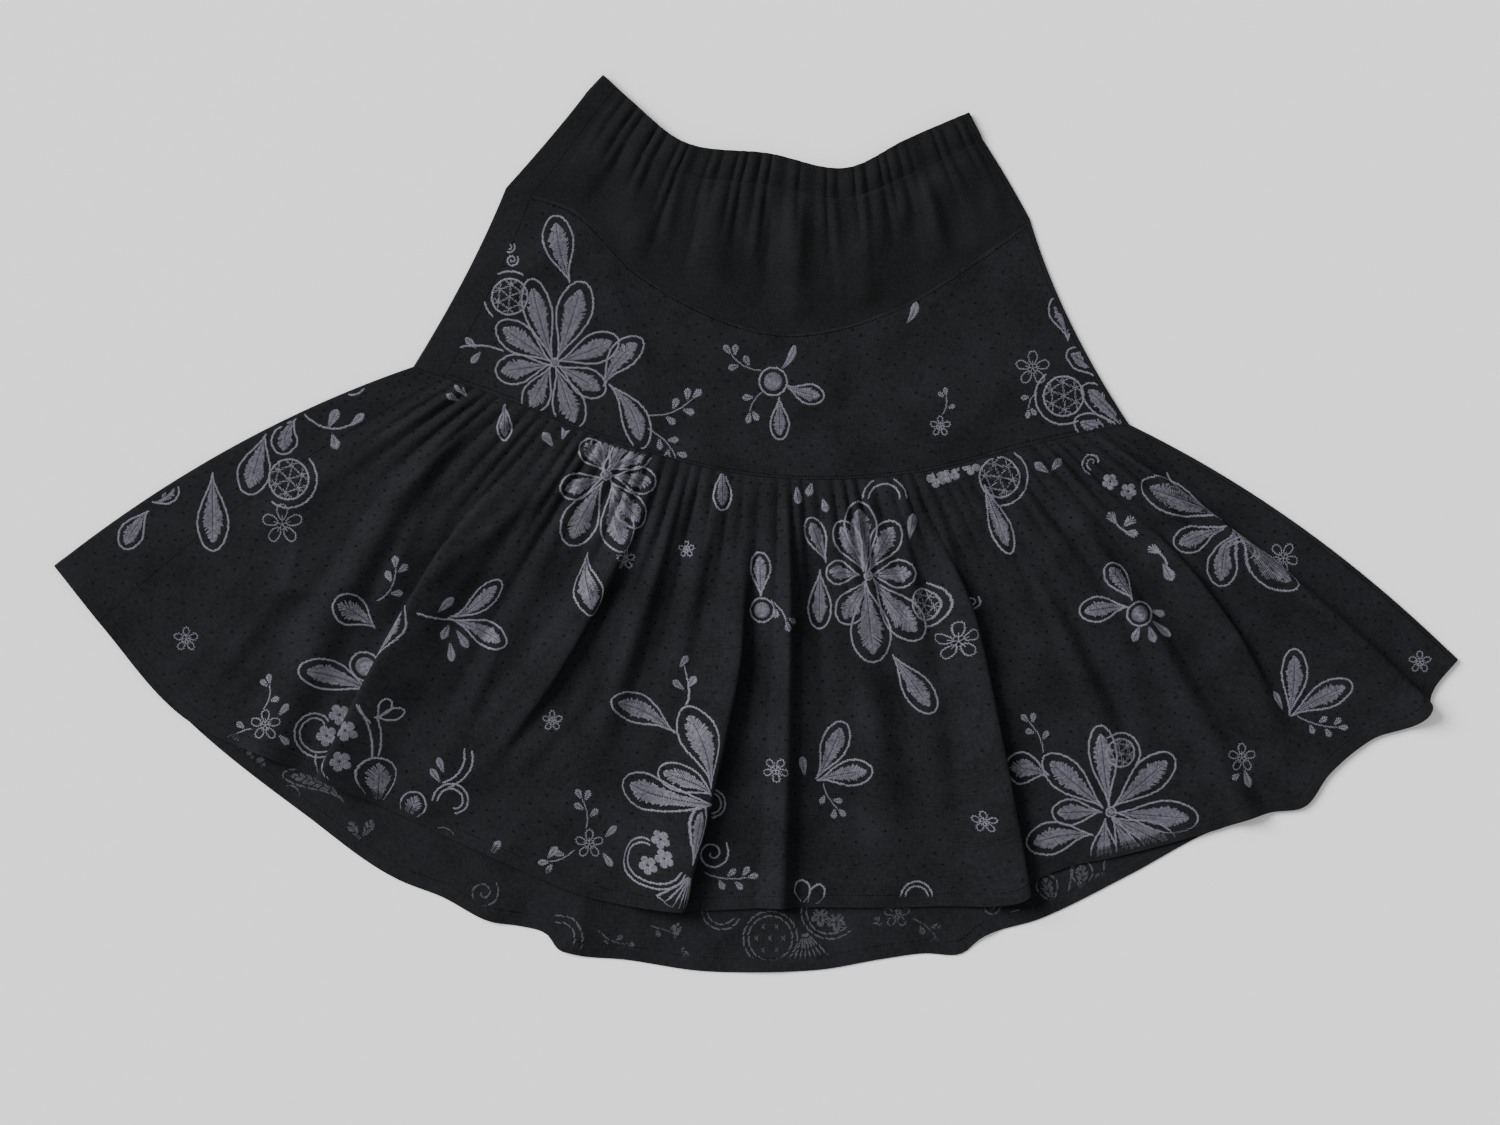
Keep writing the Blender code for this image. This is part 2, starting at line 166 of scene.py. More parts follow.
# Small gathers of a tier: how many, their heights in millimetres on top and in full bloom, the levels where
# they bloom and where they have faded, and what sets their unevenness apart
Gathers = namedtuple("Gathers", "count top bloom bloom_at fade_at drift")
FRONT_GATHERS = {
    "casing": [Gathers(32, 1.6, 2.6, 0.5, 2.0, 1.3)],
    "yoke": [Gathers(32, 1.6, 2.4, 0.10, 0.55, 1.3), Gathers(11, 0.2, 3.0, 0.30, 1.0, 0.4)],
    "hip": [],
    "flounce": [Gathers(54, 1.4, 3.6, 0.07, 0.42, 2.1), Gathers(19, 0.2, 4.0, 0.30, 1.0, 0.7)],
}
BACK_GATHERS = {
    "casing": [Gathers(32, 1.0, 1.2, 0.5, 3.0, 2.4)],
    "yoke": [Gathers(32, 1.0, 1.1, 0.10, 0.5, 2.4)],
    "hip": [],
    "flounce": [Gathers(40, 1.2, 1.7, 0.05, 0.30, 1.7)],
}

# Large folds: where each crosses the tier's top and bottom row as a share of its length, its half width
# and height in millimetres, how far its crest leans to the right as a share of the half width, and where
# down the tier it starts and ends
Fold = namedtuple("Fold", "name top bottom width_top width_bottom height lean start end")
FLOUNCE_FRONT_FOLDS = [
    Fold("left_ridge", 0.112, 0.182, 9, 34, 8, 0, 0.00, 1.4),
    Fold("left_lap", 0.205, 0.238, 17, 30, 13, -0.76, 0.14, 1.4),
    Fold("flower_edge", 0.360, 0.294, 9, 22, 10, 0.62, 0.05, 0.9),
    Fold("second_ridge", 0.398, 0.375, 8, 22, 6, 0, 0.00, 0.8),
    Fold("middle_ridge", 0.436, 0.428, 8, 16, 6, 0, 0.00, 0.5),
    Fold("deep_pleat", 0.484, 0.439, 13, 32, 14, 0.80, 0.16, 1.4),
    Fold("standing_pleat", 0.531, 0.520, 7, 17, 12, 0.20, 0.02, 1.4),
    Fold("panel_band", 0.600, 0.595, 8, 30, 5, 0, 0.30, 1.0),
    Fold("panel_crease", 0.672, 0.620, 7, 17, 5, 0, 0.00, 0.5),
    Fold("panel_edge", 0.703, 0.658, 13, 27, 13, 0.88, 0.10, 1.4),
    Fold("right_soft", 0.790, 0.760, 7, 22, 5, 0, 0.15, 1.0),
    Fold("hem_ridge", 0.850, 0.826, 8, 20, 7, 0, 0.10, 1.4),
    Fold("right_lap", 0.900, 0.869, 11, 24, 11, 0.70, 0.18, 0.95),
    Fold("right_ridge", 0.925, 0.930, 8, 14, 5, 0, 0.00, 0.5),
    Fold("right_fold", 0.944, 0.957, 6, 17, 10, 0.50, 0.00, 1.4),
]
FLOUNCE_BACK_FOLDS = [
    Fold("back_left", 0.345, 0.345, 16, 20, 4, 0, 0.88, 1.4),
    Fold("back_step", 0.400, 0.400, 14, 18, 4, -0.40, 0.88, 1.4),
    Fold("back_middle", 0.520, 0.520, 22, 30, 3, 0, 0.88, 1.4),
    Fold("back_right", 0.655, 0.655, 14, 18, 4, 0.40, 0.88, 1.4),
]

# Creases that the solids don't have, as rounded ridges: their ends in pixels of the photograph, half width
# and height in millimetres
Crease = namedtuple("Crease", "x y to_x to_y width height")
YOKE_CREASES = [Crease(*row) for row in (
    (640, 200, 636, 242, 12, 3.0), (720, 205, 716, 292, 14, 4.6), (797, 212, 799, 305, 13, 4.4),
    (868, 205, 866, 292, 12, 3.8), (931, 200, 935, 254, 12, 4.0), (992, 184, 998, 208, 9, 1.6),
    (672, 190, 668, 230, 5, 1.6), (756, 200, 752, 262, 5, 1.8), (836, 205, 834, 270, 5, 1.8),
    (904, 195, 900, 240, 5, 1.4), (590, 180, 584, 196, 6, 1.0),
)]
HIP_CREASES = [Crease(*row) for row in (
    (560, 240, 470, 330, 12, 1.5), (712, 300, 700, 455, 14, 1.6), (880, 400, 905, 470, 12, 1.0),
    (1010, 300, 1080, 390, 13, 1.1), (520, 300, 620, 330, 9, 0.7), (960, 330, 1060, 350, 9, 0.6),
    (604, 268, 652, 392, 9, 1.9), (840, 330, 830, 420, 12, 0.7),
)]
FLOUNCE_CREASES = [Crease(*row) for row in (
    (270, 590, 362, 590, 6, 2.8), (290, 585, 208, 689, 8, 1.9), (301, 542, 290, 575, 6, 1.4),
    (851, 669, 897, 764, 13, 2.3), (904, 489, 920, 573, 7, 1.7), (390, 640, 470, 700, 9, 1.3),
    (540, 620, 600, 690, 8, 1.2), (1150, 590, 1230, 640, 9, 1.2), (1000, 560, 1040, 640, 9, 1.3),
    (165, 560, 240, 520, 9, 1.1), (700, 640, 740, 700, 7, 0.9), (1300, 600, 1380, 650, 8, 1.1),
    (445, 560, 425, 640, 8, 1.2), (640, 560, 628, 640, 7, 1.1), (930, 700, 940, 800, 11, 1.1),
    (569, 473, 430, 580, 7, 2.6), (632, 545, 545, 645, 7, 3.2), (545, 645, 478, 738, 8, 3.0),
    (500, 640, 470, 715, 6, 1.6), (585, 700, 520, 770, 7, 1.6), (430, 480, 385, 600, 8, 2.4),
    (520, 500, 450, 600, 8, 2.4), (330, 470, 250, 540, 9, 1.4), (1120, 640, 1150, 760, 9, 1.5),
    (1240, 640, 1290, 700, 8, 1.3), (1180, 700, 1225, 790, 9, 1.1), (560, 760, 520, 830, 10, 1.2),
    (1212, 530, 1425, 694, 9, 3.4), (1128, 590, 1248, 766, 13, 2.6), (1066, 478, 1112, 560, 8, 2.0),
    (1160, 500, 1196, 560, 7, 1.6),
)]
INSIDE_CREASES = [Crease(*row) for row in (
    (420, 850, 500, 905, 7, 0.8), (583, 902, 577, 948, 6, 2.0), (516, 890, 512, 920, 6, 1.8),
    (720, 930, 800, 945, 8, 0.7), (962, 918, 960, 942, 6, 1.8), (1050, 880, 1110, 860, 7, 0.7),
    (640, 900, 636, 960, 7, 0.8),
)]

# Creases of each panel; the level down to which they fade in and the levels from which they fade out; and the
# crumples' height in metres, with the back's share of it
CREASES = {
    ("yoke", "front"): YOKE_CREASES,
    ("hip", "front"): HIP_CREASES,
    ("flounce", "front"): FLOUNCE_CREASES,
    ("flounce", "back"): INSIDE_CREASES,
}
CREASES_IN = 0.03
CREASES_OUT = {"casing": 0.97, "yoke": 0.80, "hip": 0.90, "flounce": 0.97}
CRUMPLE = {"casing": 0.0001, "yoke": 0.0007, "hip": 0.0008, "flounce": 0.0010}
BACK_CRUMPLE = 0.5

# Crumples of worn cloth: each wave's length in metres and direction in degrees
CRUMPLE_WAVES = ((0.061, 20), (0.043, 75), (0.031, 130), (0.052, 160), (0.024, 45))

# Embroidery, in pixels of the photograph. A petal, leaf, sprig or line runs from x, y to to_x, to_y, bowed by
# bend times its length, where one is given; size is a petal's or leaf's width and a sprig's leaf length. The
# other kinds are round about x, y, face to_x, to_y, and size is their radius.
Motif = namedtuple("Motif", "kind x y to_x to_y size bend", defaults=(0.0,))
HIP_MOTIFS = [Motif(*row) for row in (
    ("petal", 572, 284, 558, 217, 30, -0.04), ("petal", 555, 362, 533, 280, 28, -0.02),
    ("petal", 559, 361, 584, 283, 35, 0.02), ("petal", 560, 363, 620, 340, 30, 0.02),
    ("petal", 560, 367, 607, 394, 28), ("petal", 558, 368, 579, 430, 32), ("petal", 553, 367, 531, 414, 28),
    ("circle", 557, 364, 560, 364, 4), ("petal", 553, 366, 498, 373, 30), ("petal", 553, 363, 500, 325, 30),
    ("petal", 606, 387, 645, 342, 27, -0.10), ("petal", 611, 386, 643, 450, 27, -0.12),
    ("sprig", 650, 416, 694, 400, 13, 0.12), ("sprig", 650, 430, 678, 458, 12, -0.1),
    ("wheel", 512, 298, 494, 285, 18), ("curl", 512, 249, 520, 242, 6), ("curl", 514, 261, 522, 256, 7),
    ("line", 506, 352, 461, 349, 4, 0.08), ("leaf", 480, 350, 468, 339, 6), ("leaf", 484, 352, 474, 364, 6),
    ("leaf", 461, 349, 448, 352, 6), ("circle", 775, 382, 790, 390, 14),
    ("petal", 788, 386, 826, 396, 20, 0.06), ("petal", 781, 398, 782, 440, 19),
    ("sprig", 764, 371, 734, 356, 12, -0.12), ("leaf", 783, 370, 797, 345, 6, 0.1),
    ("sprig", 764, 393, 752, 412, 12, 0.1), ("leaf", 908, 323, 918, 301, 7, 0.1),
    ("flower", 942, 426, 942, 410, 10), ("sprig", 944, 414, 948, 396, 9, 0.1),
    ("flower", 1034, 368, 1034, 350, 17), ("sprig", 1038, 392, 1030, 408, 10, 0.1),
    ("wheel", 1065, 396, 1045, 410, 20), ("petal", 1128, 432, 1084, 386, 26, 0.05),
    ("petal", 1132, 440, 1076, 420, 26), ("petal", 1100, 380, 1068, 352, 22, 0.1),
    ("petal", 1070, 340, 1056, 296, 24, 0.05),
)]
# Left edge of the flounce, partly on the back's cloth
WRAP_MOTIFS = [Motif(*row) for row in (
    ("petal", 150, 512, 126, 550, 24, 0.05), ("leaf", 114, 523, 97, 536, 8, 0.05),
    ("petal", 152, 504, 178, 486, 18, 0.1), ("petal", 214, 474, 215, 552, 31),
    ("petal", 268, 436, 250, 496, 32), ("petal", 298, 420, 286, 456, 26, 0.1),
    ("wheel", 288, 478, 302, 490, 20), ("flower", 285, 526, 285, 505, 20),
    ("line", 307, 416, 362, 420, 4, 0.22), ("leaf", 330, 430, 340, 411, 9), ("leaf", 331, 432, 336, 448, 9),
    ("leaf", 352, 428, 366, 415, 7), ("arc", 354, 380, 354, 396, 16), ("flower", 186, 638, 186, 626, 12),
)]
FLOUNCE_MOTIFS = WRAP_MOTIFS + [Motif(*row) for row in (
    # Group on the left lap, down to the hem
    ("petal", 377, 628, 337, 603, 31, 0.05), ("petal", 376, 656, 399, 602, 30, 0.08),
    ("circle", 365, 666, 365, 655, 14), ("petal", 372, 692, 303, 671, 30, 0.06),
    ("sprig", 381, 602, 399, 570, 13, 0.15), ("line", 322, 752, 329, 780, 4, 0.1),
    ("line", 316, 754, 322, 780, 4, 0.1), ("curl", 332, 788, 338, 784, 9),
    ("scroll", 321, 732, 300, 732, 26), ("floret", 339, 714, 347, 706, 10),
    ("floret", 349, 730, 357, 722, 10), ("floret", 326, 735, 334, 728, 10),
    ("floret", 344, 761, 352, 754, 10), ("flower", 266, 724, 266, 710, 15),
    ("sprig", 264, 708, 270, 684, 11, 0.1), ("sprig", 252, 728, 236, 733, 11, 0.05),
    ("leaf", 282, 716, 292, 704, 6), ("leaf", 282, 734, 292, 744, 6), ("line", 374, 758, 357, 703, 4, 0.10),
    ("line", 383, 757, 378, 716, 4, 0.08), ("line", 358, 703, 372, 722, 4),
    ("loop", 380, 718, 389, 698, 12, 0.05), ("loop", 381, 719, 406, 710, 12, 0.05),
    ("petal", 381, 814, 382, 758, 36), ("petal", 402, 824, 418, 792, 26),
    ("petal", 428, 828, 456, 836, 16, 0.1), ("scroll", 454, 803, 462, 790, 20),
    ("line", 448, 786, 470, 750, 4, 0.2), ("line", 442, 782, 463, 748, 4, 0.2),
    ("leaf", 440, 782, 430, 768, 6), ("leaf", 446, 774, 440, 758, 6), ("leaf", 488, 856, 499, 840, 7),
    ("leaf", 546, 858, 556, 846, 7),
    # Spray and large flower, left of the middle
    ("line", 422, 614, 450, 619, 4, 0.05), ("petal", 455, 618, 506, 583, 26, 0.05),
    ("petal", 456, 621, 509, 647, 25, -0.05), ("leaf", 442, 614, 456, 598, 7),
    ("leaf", 452, 624, 446, 640, 7), ("leaf", 458, 630, 470, 648, 7), ("leaf", 452, 642, 454, 662, 7),
    ("petal", 605, 478, 562, 492, 26), ("petal", 605, 482, 571, 546, 35, 0.02),
    ("petal", 609, 483, 618, 550, 33), ("petal", 612, 481, 644, 527, 29), ("petal", 613, 476, 656, 483, 27),
    ("petal", 612, 471, 652, 450, 24), ("petal", 609, 469, 628, 436, 22), ("petal", 606, 469, 604, 432, 22),
    ("petal", 603, 471, 582, 440, 24), ("circle", 609, 476, 612, 476, 5), ("petal", 587, 553, 588, 614, 27),
    ("petal", 503, 404, 503, 440, 14), ("leaf", 556, 448, 546, 434, 8), ("leaf", 560, 440, 566, 424, 7),
    ("leaf", 470, 398, 458, 384, 7), ("leaf", 462, 402, 450, 396, 6), ("flower", 627, 560, 627, 550, 10),
    ("flower", 685, 549, 685, 540, 8), ("flower", 554, 721, 554, 712, 10),
    ("petal", 725, 468, 725, 511, 18),
    # Middle, down to the hem
    ("petal", 676, 732, 614, 702, 29, 0.08), ("petal", 708, 786, 695, 707, 34, 0.03),
    ("petal", 708, 793, 663, 771, 27, 0.05), ("petal", 702, 802, 614, 777, 35, -0.06),
    ("petal", 692, 862, 703, 803, 14), ("scroll", 650, 856, 636, 866, 31),
    ("floret", 659, 838, 668, 830, 9), ("floret", 665, 857, 674, 850, 9), ("floret", 647, 864, 656, 856, 9),
    ("fan", 694, 872, 678, 906, 40), ("flower", 591, 844, 591, 830, 14),
    ("sprig", 588, 828, 584, 800, 12, 0.1), ("sprig", 576, 850, 552, 862, 12, -0.1),
    ("leaf", 606, 838, 618, 826, 6), ("leaf", 604, 852, 614, 866, 6), ("line", 684, 704, 682, 666, 4, 0.12),
    ("leaf", 684, 690, 672, 680, 6), ("leaf", 684, 688, 694, 676, 6), ("leaf", 682, 668, 690, 656, 6),
    ("curl", 711, 853, 720, 846, 17), ("arc", 710, 803, 722, 803, 14),
    ("sprig", 706, 872, 748, 877, 12, 0.08), ("petal", 759, 596, 758, 552, 20),
    ("circle", 760, 610, 770, 600, 12), ("sprig", 770, 600, 784, 620, 11, -0.1),
    ("flower", 774, 769, 780, 760, 12),
    # Flower on the middle panel
    ("petal", 866, 571, 857, 502, 32), ("petal", 870, 571, 897, 522, 30), ("petal", 872, 575, 917, 573, 28),
    ("petal", 871, 579, 920, 637, 36, 0.03), ("petal", 867, 581, 876, 662, 40),
    ("petal", 864, 580, 840, 623, 30), ("petal", 861, 575, 828, 571, 24), ("petal", 863, 571, 837, 522, 26),
    ("petal", 818, 570, 817, 629, 23), ("petal", 828, 562, 811, 518, 20), ("petal", 890, 655, 931, 712, 28),
    ("circle", 866, 576, 870, 576, 4), ("wheel", 925, 604, 940, 606, 16),
    ("flower", 957, 641, 957, 625, 19), ("leaf", 798, 486, 800, 504, 7), ("leaf", 812, 482, 808, 496, 7),
    ("leaf", 820, 498, 824, 512, 7), ("arc", 882, 500, 882, 480, 22), ("leaf", 908, 540, 912, 514, 8),
    ("curl", 973, 602, 980, 595, 8), ("floret", 934, 478, 942, 470, 10), ("floret", 952, 472, 960, 466, 10),
    ("floret", 970, 466, 976, 459, 9), ("wheel", 1001, 477, 1022, 480, 20),
    ("petal", 982, 486, 1008, 554, 21), ("leaf", 1046, 474, 1032, 464, 7),
    ("leaf", 1048, 472, 1058, 460, 7), ("petal", 815, 778, 841, 721, 27, 0.04),
    ("petal", 816, 780, 871, 771, 26, -0.04), ("leaf", 806, 776, 803, 756, 7),
    ("sprig", 822, 783, 836, 808, 11, 0.08), ("loop", 803, 906, 800, 880, 16, 0.1),
    ("loop", 806, 906, 822, 884, 15, 0.1), ("arc", 918, 897, 918, 876, 16),
    ("flower", 983, 820, 983, 808, 11),
    # Right half
    ("petal", 1129, 606, 1081, 612, 25, 0.03), ("petal", 1132, 599, 1107, 564, 21, 0.03),
    ("circle", 1140, 613, 1139, 600, 12), ("leaf", 1136, 626, 1130, 642, 7),
    ("leaf", 1152, 610, 1166, 614, 7), ("leaf", 1152, 620, 1172, 636, 7), ("leaf", 1144, 626, 1150, 642, 7),
    ("scroll", 1094, 463, 1084, 455, 11), ("floret", 1109, 482, 1114, 474, 8),
    ("floret", 1129, 491, 1134, 483, 8), ("leaf", 1117, 524, 1109, 512, 9),
    ("leaf", 1121, 528, 1131, 518, 9), ("line", 1110, 516, 1124, 533, 4, 0.1),
    ("leaf", 1122, 533, 1135, 535, 8), ("leaf", 1158, 556, 1147, 547, 9),
    ("line", 1150, 548, 1163, 567, 4, -0.1), ("leaf", 1161, 563, 1169, 582, 9),
    ("petal", 1220, 520, 1141, 483, 33), ("line", 1212, 514, 1168, 472, 4, -0.06),
    ("petal", 1219, 528, 1169, 548, 27), ("petal", 1224, 532, 1216, 588, 31),
    ("petal", 1230, 530, 1292, 588, 28), ("arc", 1240, 552, 1248, 536, 16),
    ("flower", 1283, 556, 1290, 546, 15), ("flower", 1418, 663, 1418, 652, 11),
    ("petal", 1289, 714, 1294, 648, 26, 0.04), ("petal", 1291, 715, 1353, 684, 26, -0.04),
    ("leaf", 1284, 708, 1274, 690, 7), ("sprig", 1296, 716, 1336, 727, 11, 0.06),
    ("flower", 1242, 757, 1242, 745, 14), ("leaf", 1244, 768, 1250, 786, 7),
    ("leaf", 1240, 772, 1232, 778, 6), ("petal", 1107, 806, 1097, 725, 27),
    ("petal", 1104, 807, 1045, 756, 32), ("petal", 1103, 811, 1053, 812, 26),
    ("petal", 1113, 807, 1174, 755, 34), ("petal", 1115, 812, 1199, 818, 32),
    ("petal", 1113, 816, 1180, 850, 30), ("petal", 1110, 818, 1142, 872, 28),
    ("petal", 1106, 818, 1104, 872, 26), ("circle", 1109, 812, 1112, 812, 5),
    ("wheel", 1121, 752, 1134, 738, 14), ("petal", 1047, 775, 1004, 768, 32, 0.06),
    ("petal", 1094, 834, 1028, 845, 32, 0.06), ("sprig", 1044, 752, 1030, 722, 11, 0.1),
)]
INSIDE_MOTIFS = [Motif(*row) for row in (
    ("leaf", 236, 769, 241, 746, 9), ("leaf", 247, 776, 251, 752, 10), ("leaf", 258, 783, 263, 758, 10),
    ("petal", 345, 802, 284, 776, 17, 0.1), ("circle", 291, 796, 300, 790, 10),
    ("leaf", 361, 840, 351, 823, 9), ("leaf", 364, 839, 374, 821, 9), ("line", 362, 838, 352, 852, 4),
    ("curl", 482, 892, 495, 882, 16), ("line", 470, 908, 480, 914, 4, 0.1), ("arc", 556, 938, 580, 934, 25),
    ("leaf", 676, 940, 680, 923, 8), ("leaf", 684, 946, 689, 961, 8), ("scroll", 722, 908, 706, 920, 22),
    ("sprig", 650, 925, 672, 932, 9), ("medallion", 772, 938, 772, 920, 27),
    ("fan", 806, 930, 815, 970, 40), ("scroll", 830, 908, 802, 918, 31), ("floret", 822, 917, 828, 909, 9),
    ("floret", 838, 922, 844, 914, 9), ("flower", 898, 914, 898, 900, 13), ("leaf", 884, 926, 876, 918, 8),
    ("sprig", 912, 918, 938, 938, 11, -0.1), ("curl", 992, 906, 998, 898, 10),
    ("petal", 1056, 905, 1044, 874, 21), ("petal", 1085, 892, 1082, 860, 22),
    ("arc", 1019, 921, 1021, 911, 11), ("line", 1068, 900, 1075, 864, 4),
    ("leaf", 1094, 892, 1104, 872, 10), ("arc", 1160, 858, 1166, 850, 10),
    ("line", 1106, 882, 1105, 850, 4), ("sprig", 600, 930, 626, 944, 10, 0.1),
    ("leaf", 516, 918, 504, 926, 8),
)]

# Thread of the embroidery, in metres, and the longest stitch that still follows the cloth
ROPE_WIDTH, ROPE_STEP = 0.0013, 0.0019
THIN_WIDTH, THIN_STEP = 0.0007, 0.0019
SATIN_WIDTH, SATIN_STEP = 0.0011, 0.0014
LATTICE_WIDTH, LATTICE_STEP = 0.0006, 0.0030
LONGEST_STITCH, PART_LENGTH = 0.0045, 1.15
STITCH_HEIGHT = 0.00035
FLAT_STITCH_HEIGHT = 0.00016
REVERSE_STITCH_HEIGHT = 0.0002
STITCH_SINK = 0.00005

# Stem stitch, as shares of its step: how far it strays, reaches from its middle and slants. Satin stitch: how
# far it leans forwards for its reach, how far past the last one it may end, and its distance from the middle.
ROPE_STRAY, ROPE_REACH, ROPE_SLANT = 0.16, 0.66, 0.24
SATIN_LEAN, SATIN_PAST, SATIN_PARTING = 0.75, 0.04, 0.2

# Drawing sizes in pixels of the photograph: from leaf to leaf on a sprig, between a scroll's lines, a small
# star; and the points of a ring, and half the angles of an arc and a fan
LEAF_SPACING, SCROLL_GAP, STAR_SIZE = 11.0, 5.0, 2.6
RING_POINTS, ARC_HALF, FAN_HALF = 48, 1.5, 0.55

# Sewing thread of the seams and hems: width, height, step and length of a stitch; the dots of the weave, and
# the width and length of cloth that they are spread over
SEWING_WIDTH, SEWING_HEIGHT = 0.0007, 0.00025
SEWING_STEP, SEWING_LENGTH = 0.0030, 0.0020
SEWING_SPAN = (LEFT_SEAM_SHARE + 0.004, 0.99)
DOT_WIDTH, DOT_HEIGHT, DOT_STEP, DOT_STRAY = 0.0026, 0.00010, 0.016, 0.2
HIP_DOT_AREA = (0.40, 0.13)
FLOUNCE_DOT_AREA = (1.15, 0.30)

# Least and greatest stretch of a motif that lies on the slope of a fold, so that it shows at its true width
MOTIF_STRETCH = (0.45, 1.25)

# Search for the cloth that shows at a motif: shares to each side, number of tries, and how close to it in
# metres the cloth has to come. Speed of the folded cloth past the flat: places tried across a motif, the
# least speed that counts as forwards, and the least mean.
LAP_REACH, LAP_TRIES, LAP_MISS = 0.07, 141, 0.002
SPEED_TRIES, FORWARD_SPEED, LEAST_SPEED = 9, 0.3, 0.5

# Shares across that a piece may cover: the front's own cloth, the back's where it shows on the front, and
# the back's own; and the shares and levels within which a whole stitch has to lie
FRONT_SPAN = (LEFT_SEAM_SHARE, 0.992)
WRAP_SPAN = (0.005, LEFT_SEAM_SHARE)
INSIDE_SPAN = (0.02, 0.98)
STITCH_SHARES = (0.003, 0.994)
STITCH_LEVELS = (0.006, 0.993)

# Darkest and palest shade of the plain and the dotted cotton, the embroidery's outline, satin and reverse,
# the sewing thread and the woven dots
PLAIN_SHADES = ((0.0032, 0.0034, 0.0038), (0.0098, 0.0103, 0.0113))
DOTTED_SHADES = ((0.0038, 0.0042, 0.0051), (0.0116, 0.0126, 0.0148))
THREAD_SHADES = ((0.080, 0.078, 0.098), (0.150, 0.147, 0.178))
SATIN_SHADES = ((0.050, 0.049, 0.064), (0.125, 0.122, 0.150))
REVERSE_SHADES = ((0.028, 0.028, 0.034), (0.060, 0.060, 0.070))
SEWING_SHADES = ((0.0010, 0.0010, 0.0012), (0.0022, 0.0022, 0.0026))
DOT_SHADES = ((0.0026, 0.0028, 0.0033), (0.0058, 0.0062, 0.0072))

# Cotton: roughness and gloss, clouds and threads to the metre, a slub's thickness to its length, the
# contrast of clouds and slubs, and the strength and height of the slubs' relief
CLOTH_ROUGHNESS, CLOTH_GLOSS = 0.88, 0.12
PLAIN_GRAIN, DOTTED_GRAIN = 900.0, 700.0
CLOUDS, SLUB_SLIMNESS = 22.0, 0.25
CLOUD_CONTRAST, SLUB_CONTRAST = 1.5, 1.2
SLUB_RELIEF, SLUB_HEIGHT = 0.5, 0.0004

# Thread: patches of shade to the metre and their contrast
PATCHES, PATCH_CONTRAST = 420.0, 2.2


def ease(value, low, high):
    """Rise softly from 0 at low to 1 at high: three times the square of the share less twice its cube."""
    share = np.clip((value - low) / (high - low), 0.0, 1.0)
    return share * share * (3.0 - 2.0 * share)


def from_photo(x, y):
    """Plan position in metres of a pixel of the photograph."""
    return np.stack([(np.asarray(x, float) - PHOTO_ORIGIN_X) * METRES_PER_PIXEL,
                     (PHOTO_ORIGIN_Y - np.asarray(y, float)) * METRES_PER_PIXEL], axis=-1)


def even_curve(points):
    """Evenly spaced points on a smooth curve: cubic pieces whose slopes are those of the knots' polygon."""
    knots = np.array(points, dtype=float) / MILLIMETRES
    chord = np.concatenate([[0.0], np.cumsum(np.linalg.norm(np.diff(knots, axis=0), axis=1))])
    slope = np.gradient(knots, chord, axis=0)
    along = np.linspace(0.0, chord[-1], CURVE_STEPS)
    piece = np.clip(np.searchsorted(chord, along, side="right") - 1, 0, len(knots) - 2)
    step = (chord[piece + 1] - chord[piece])[:, None]
    share = (along - chord[piece])[:, None] / step
    blend = share * share * (3.0 - 2.0 * share)
    start_pull = share * (1.0 - share) ** 2 * step * slope[piece]
    end_pull = share * share * (share - 1.0) * step * slope[piece + 1]
    curve = knots[piece] * (1.0 - blend) + knots[piece + 1] * blend + start_pull + end_pull
    length = np.concatenate([[0.0], np.cumsum(np.linalg.norm(np.diff(curve, axis=0), axis=1))])
    even = np.linspace(0.0, length[-1], CURVE_STEPS)
    return np.stack([np.interp(even, length, curve[:, axis]) for axis in range(2)], axis=1)


CURVES = {name: {"front": even_curve(row.front), "back": even_curve(row.back)} for name, row in ROWS.items()}


def curve_length(curve):
    """Sum of the distances between a curve's points."""
    return np.linalg.norm(np.diff(curve, axis=0), axis=1).sum()


def curve_point(curve, share):
    """Plan position at a share of a curve's length, carried straight on past its ends."""
    steps = np.linspace(0.0, 1.0, CURVE_STEPS)
    inside = np.clip(share, 0.0, 1.0)
    beyond = (share - inside)[..., None] * (CURVE_STEPS - 1)
    point = np.stack([np.interp(inside, steps, curve[:, axis]) for axis in range(2)], axis=-1)
    end_step = np.where((share < 0.5)[..., None], curve[1] - curve[0], curve[-1] - curve[-2])
    return point + beyond * end_step


def plan_point(tier, side, share, level):
    """Plan position: a blend of the two rows at the same share, with the side outlines bulged."""
    top = curve_point(CURVES[tier.top][side], share)
    bottom = curve_point(CURVES[tier.bottom][side], share)
    arch = 4.0 * level * (1.0 - level)
    left = np.array(tier.left_bulge) / MILLIMETRES * (arch * (1.0 - share) ** 4)[..., None]
    right = np.array(tier.right_bulge) / MILLIMETRES * (arch * share ** 4)[..., None]
    return top * (1.0 - level[..., None]) + bottom * level[..., None] + left + right


def row_length(tier, side, level):
    """Length across a tier at a level: a blend of its two rows' lengths."""
    top = curve_length(CURVES[tier.top][side])
    bottom = curve_length(CURVES[tier.bottom][side])
    return top * (1.0 - level) + bottom * level


def sway(start, waves, share, drift):
    """A start value and sine waves across, each with its own strength, count and multiple of the drift."""
    return sum((size * np.sin(count * share + times * drift) for size, count, times in waves), start)


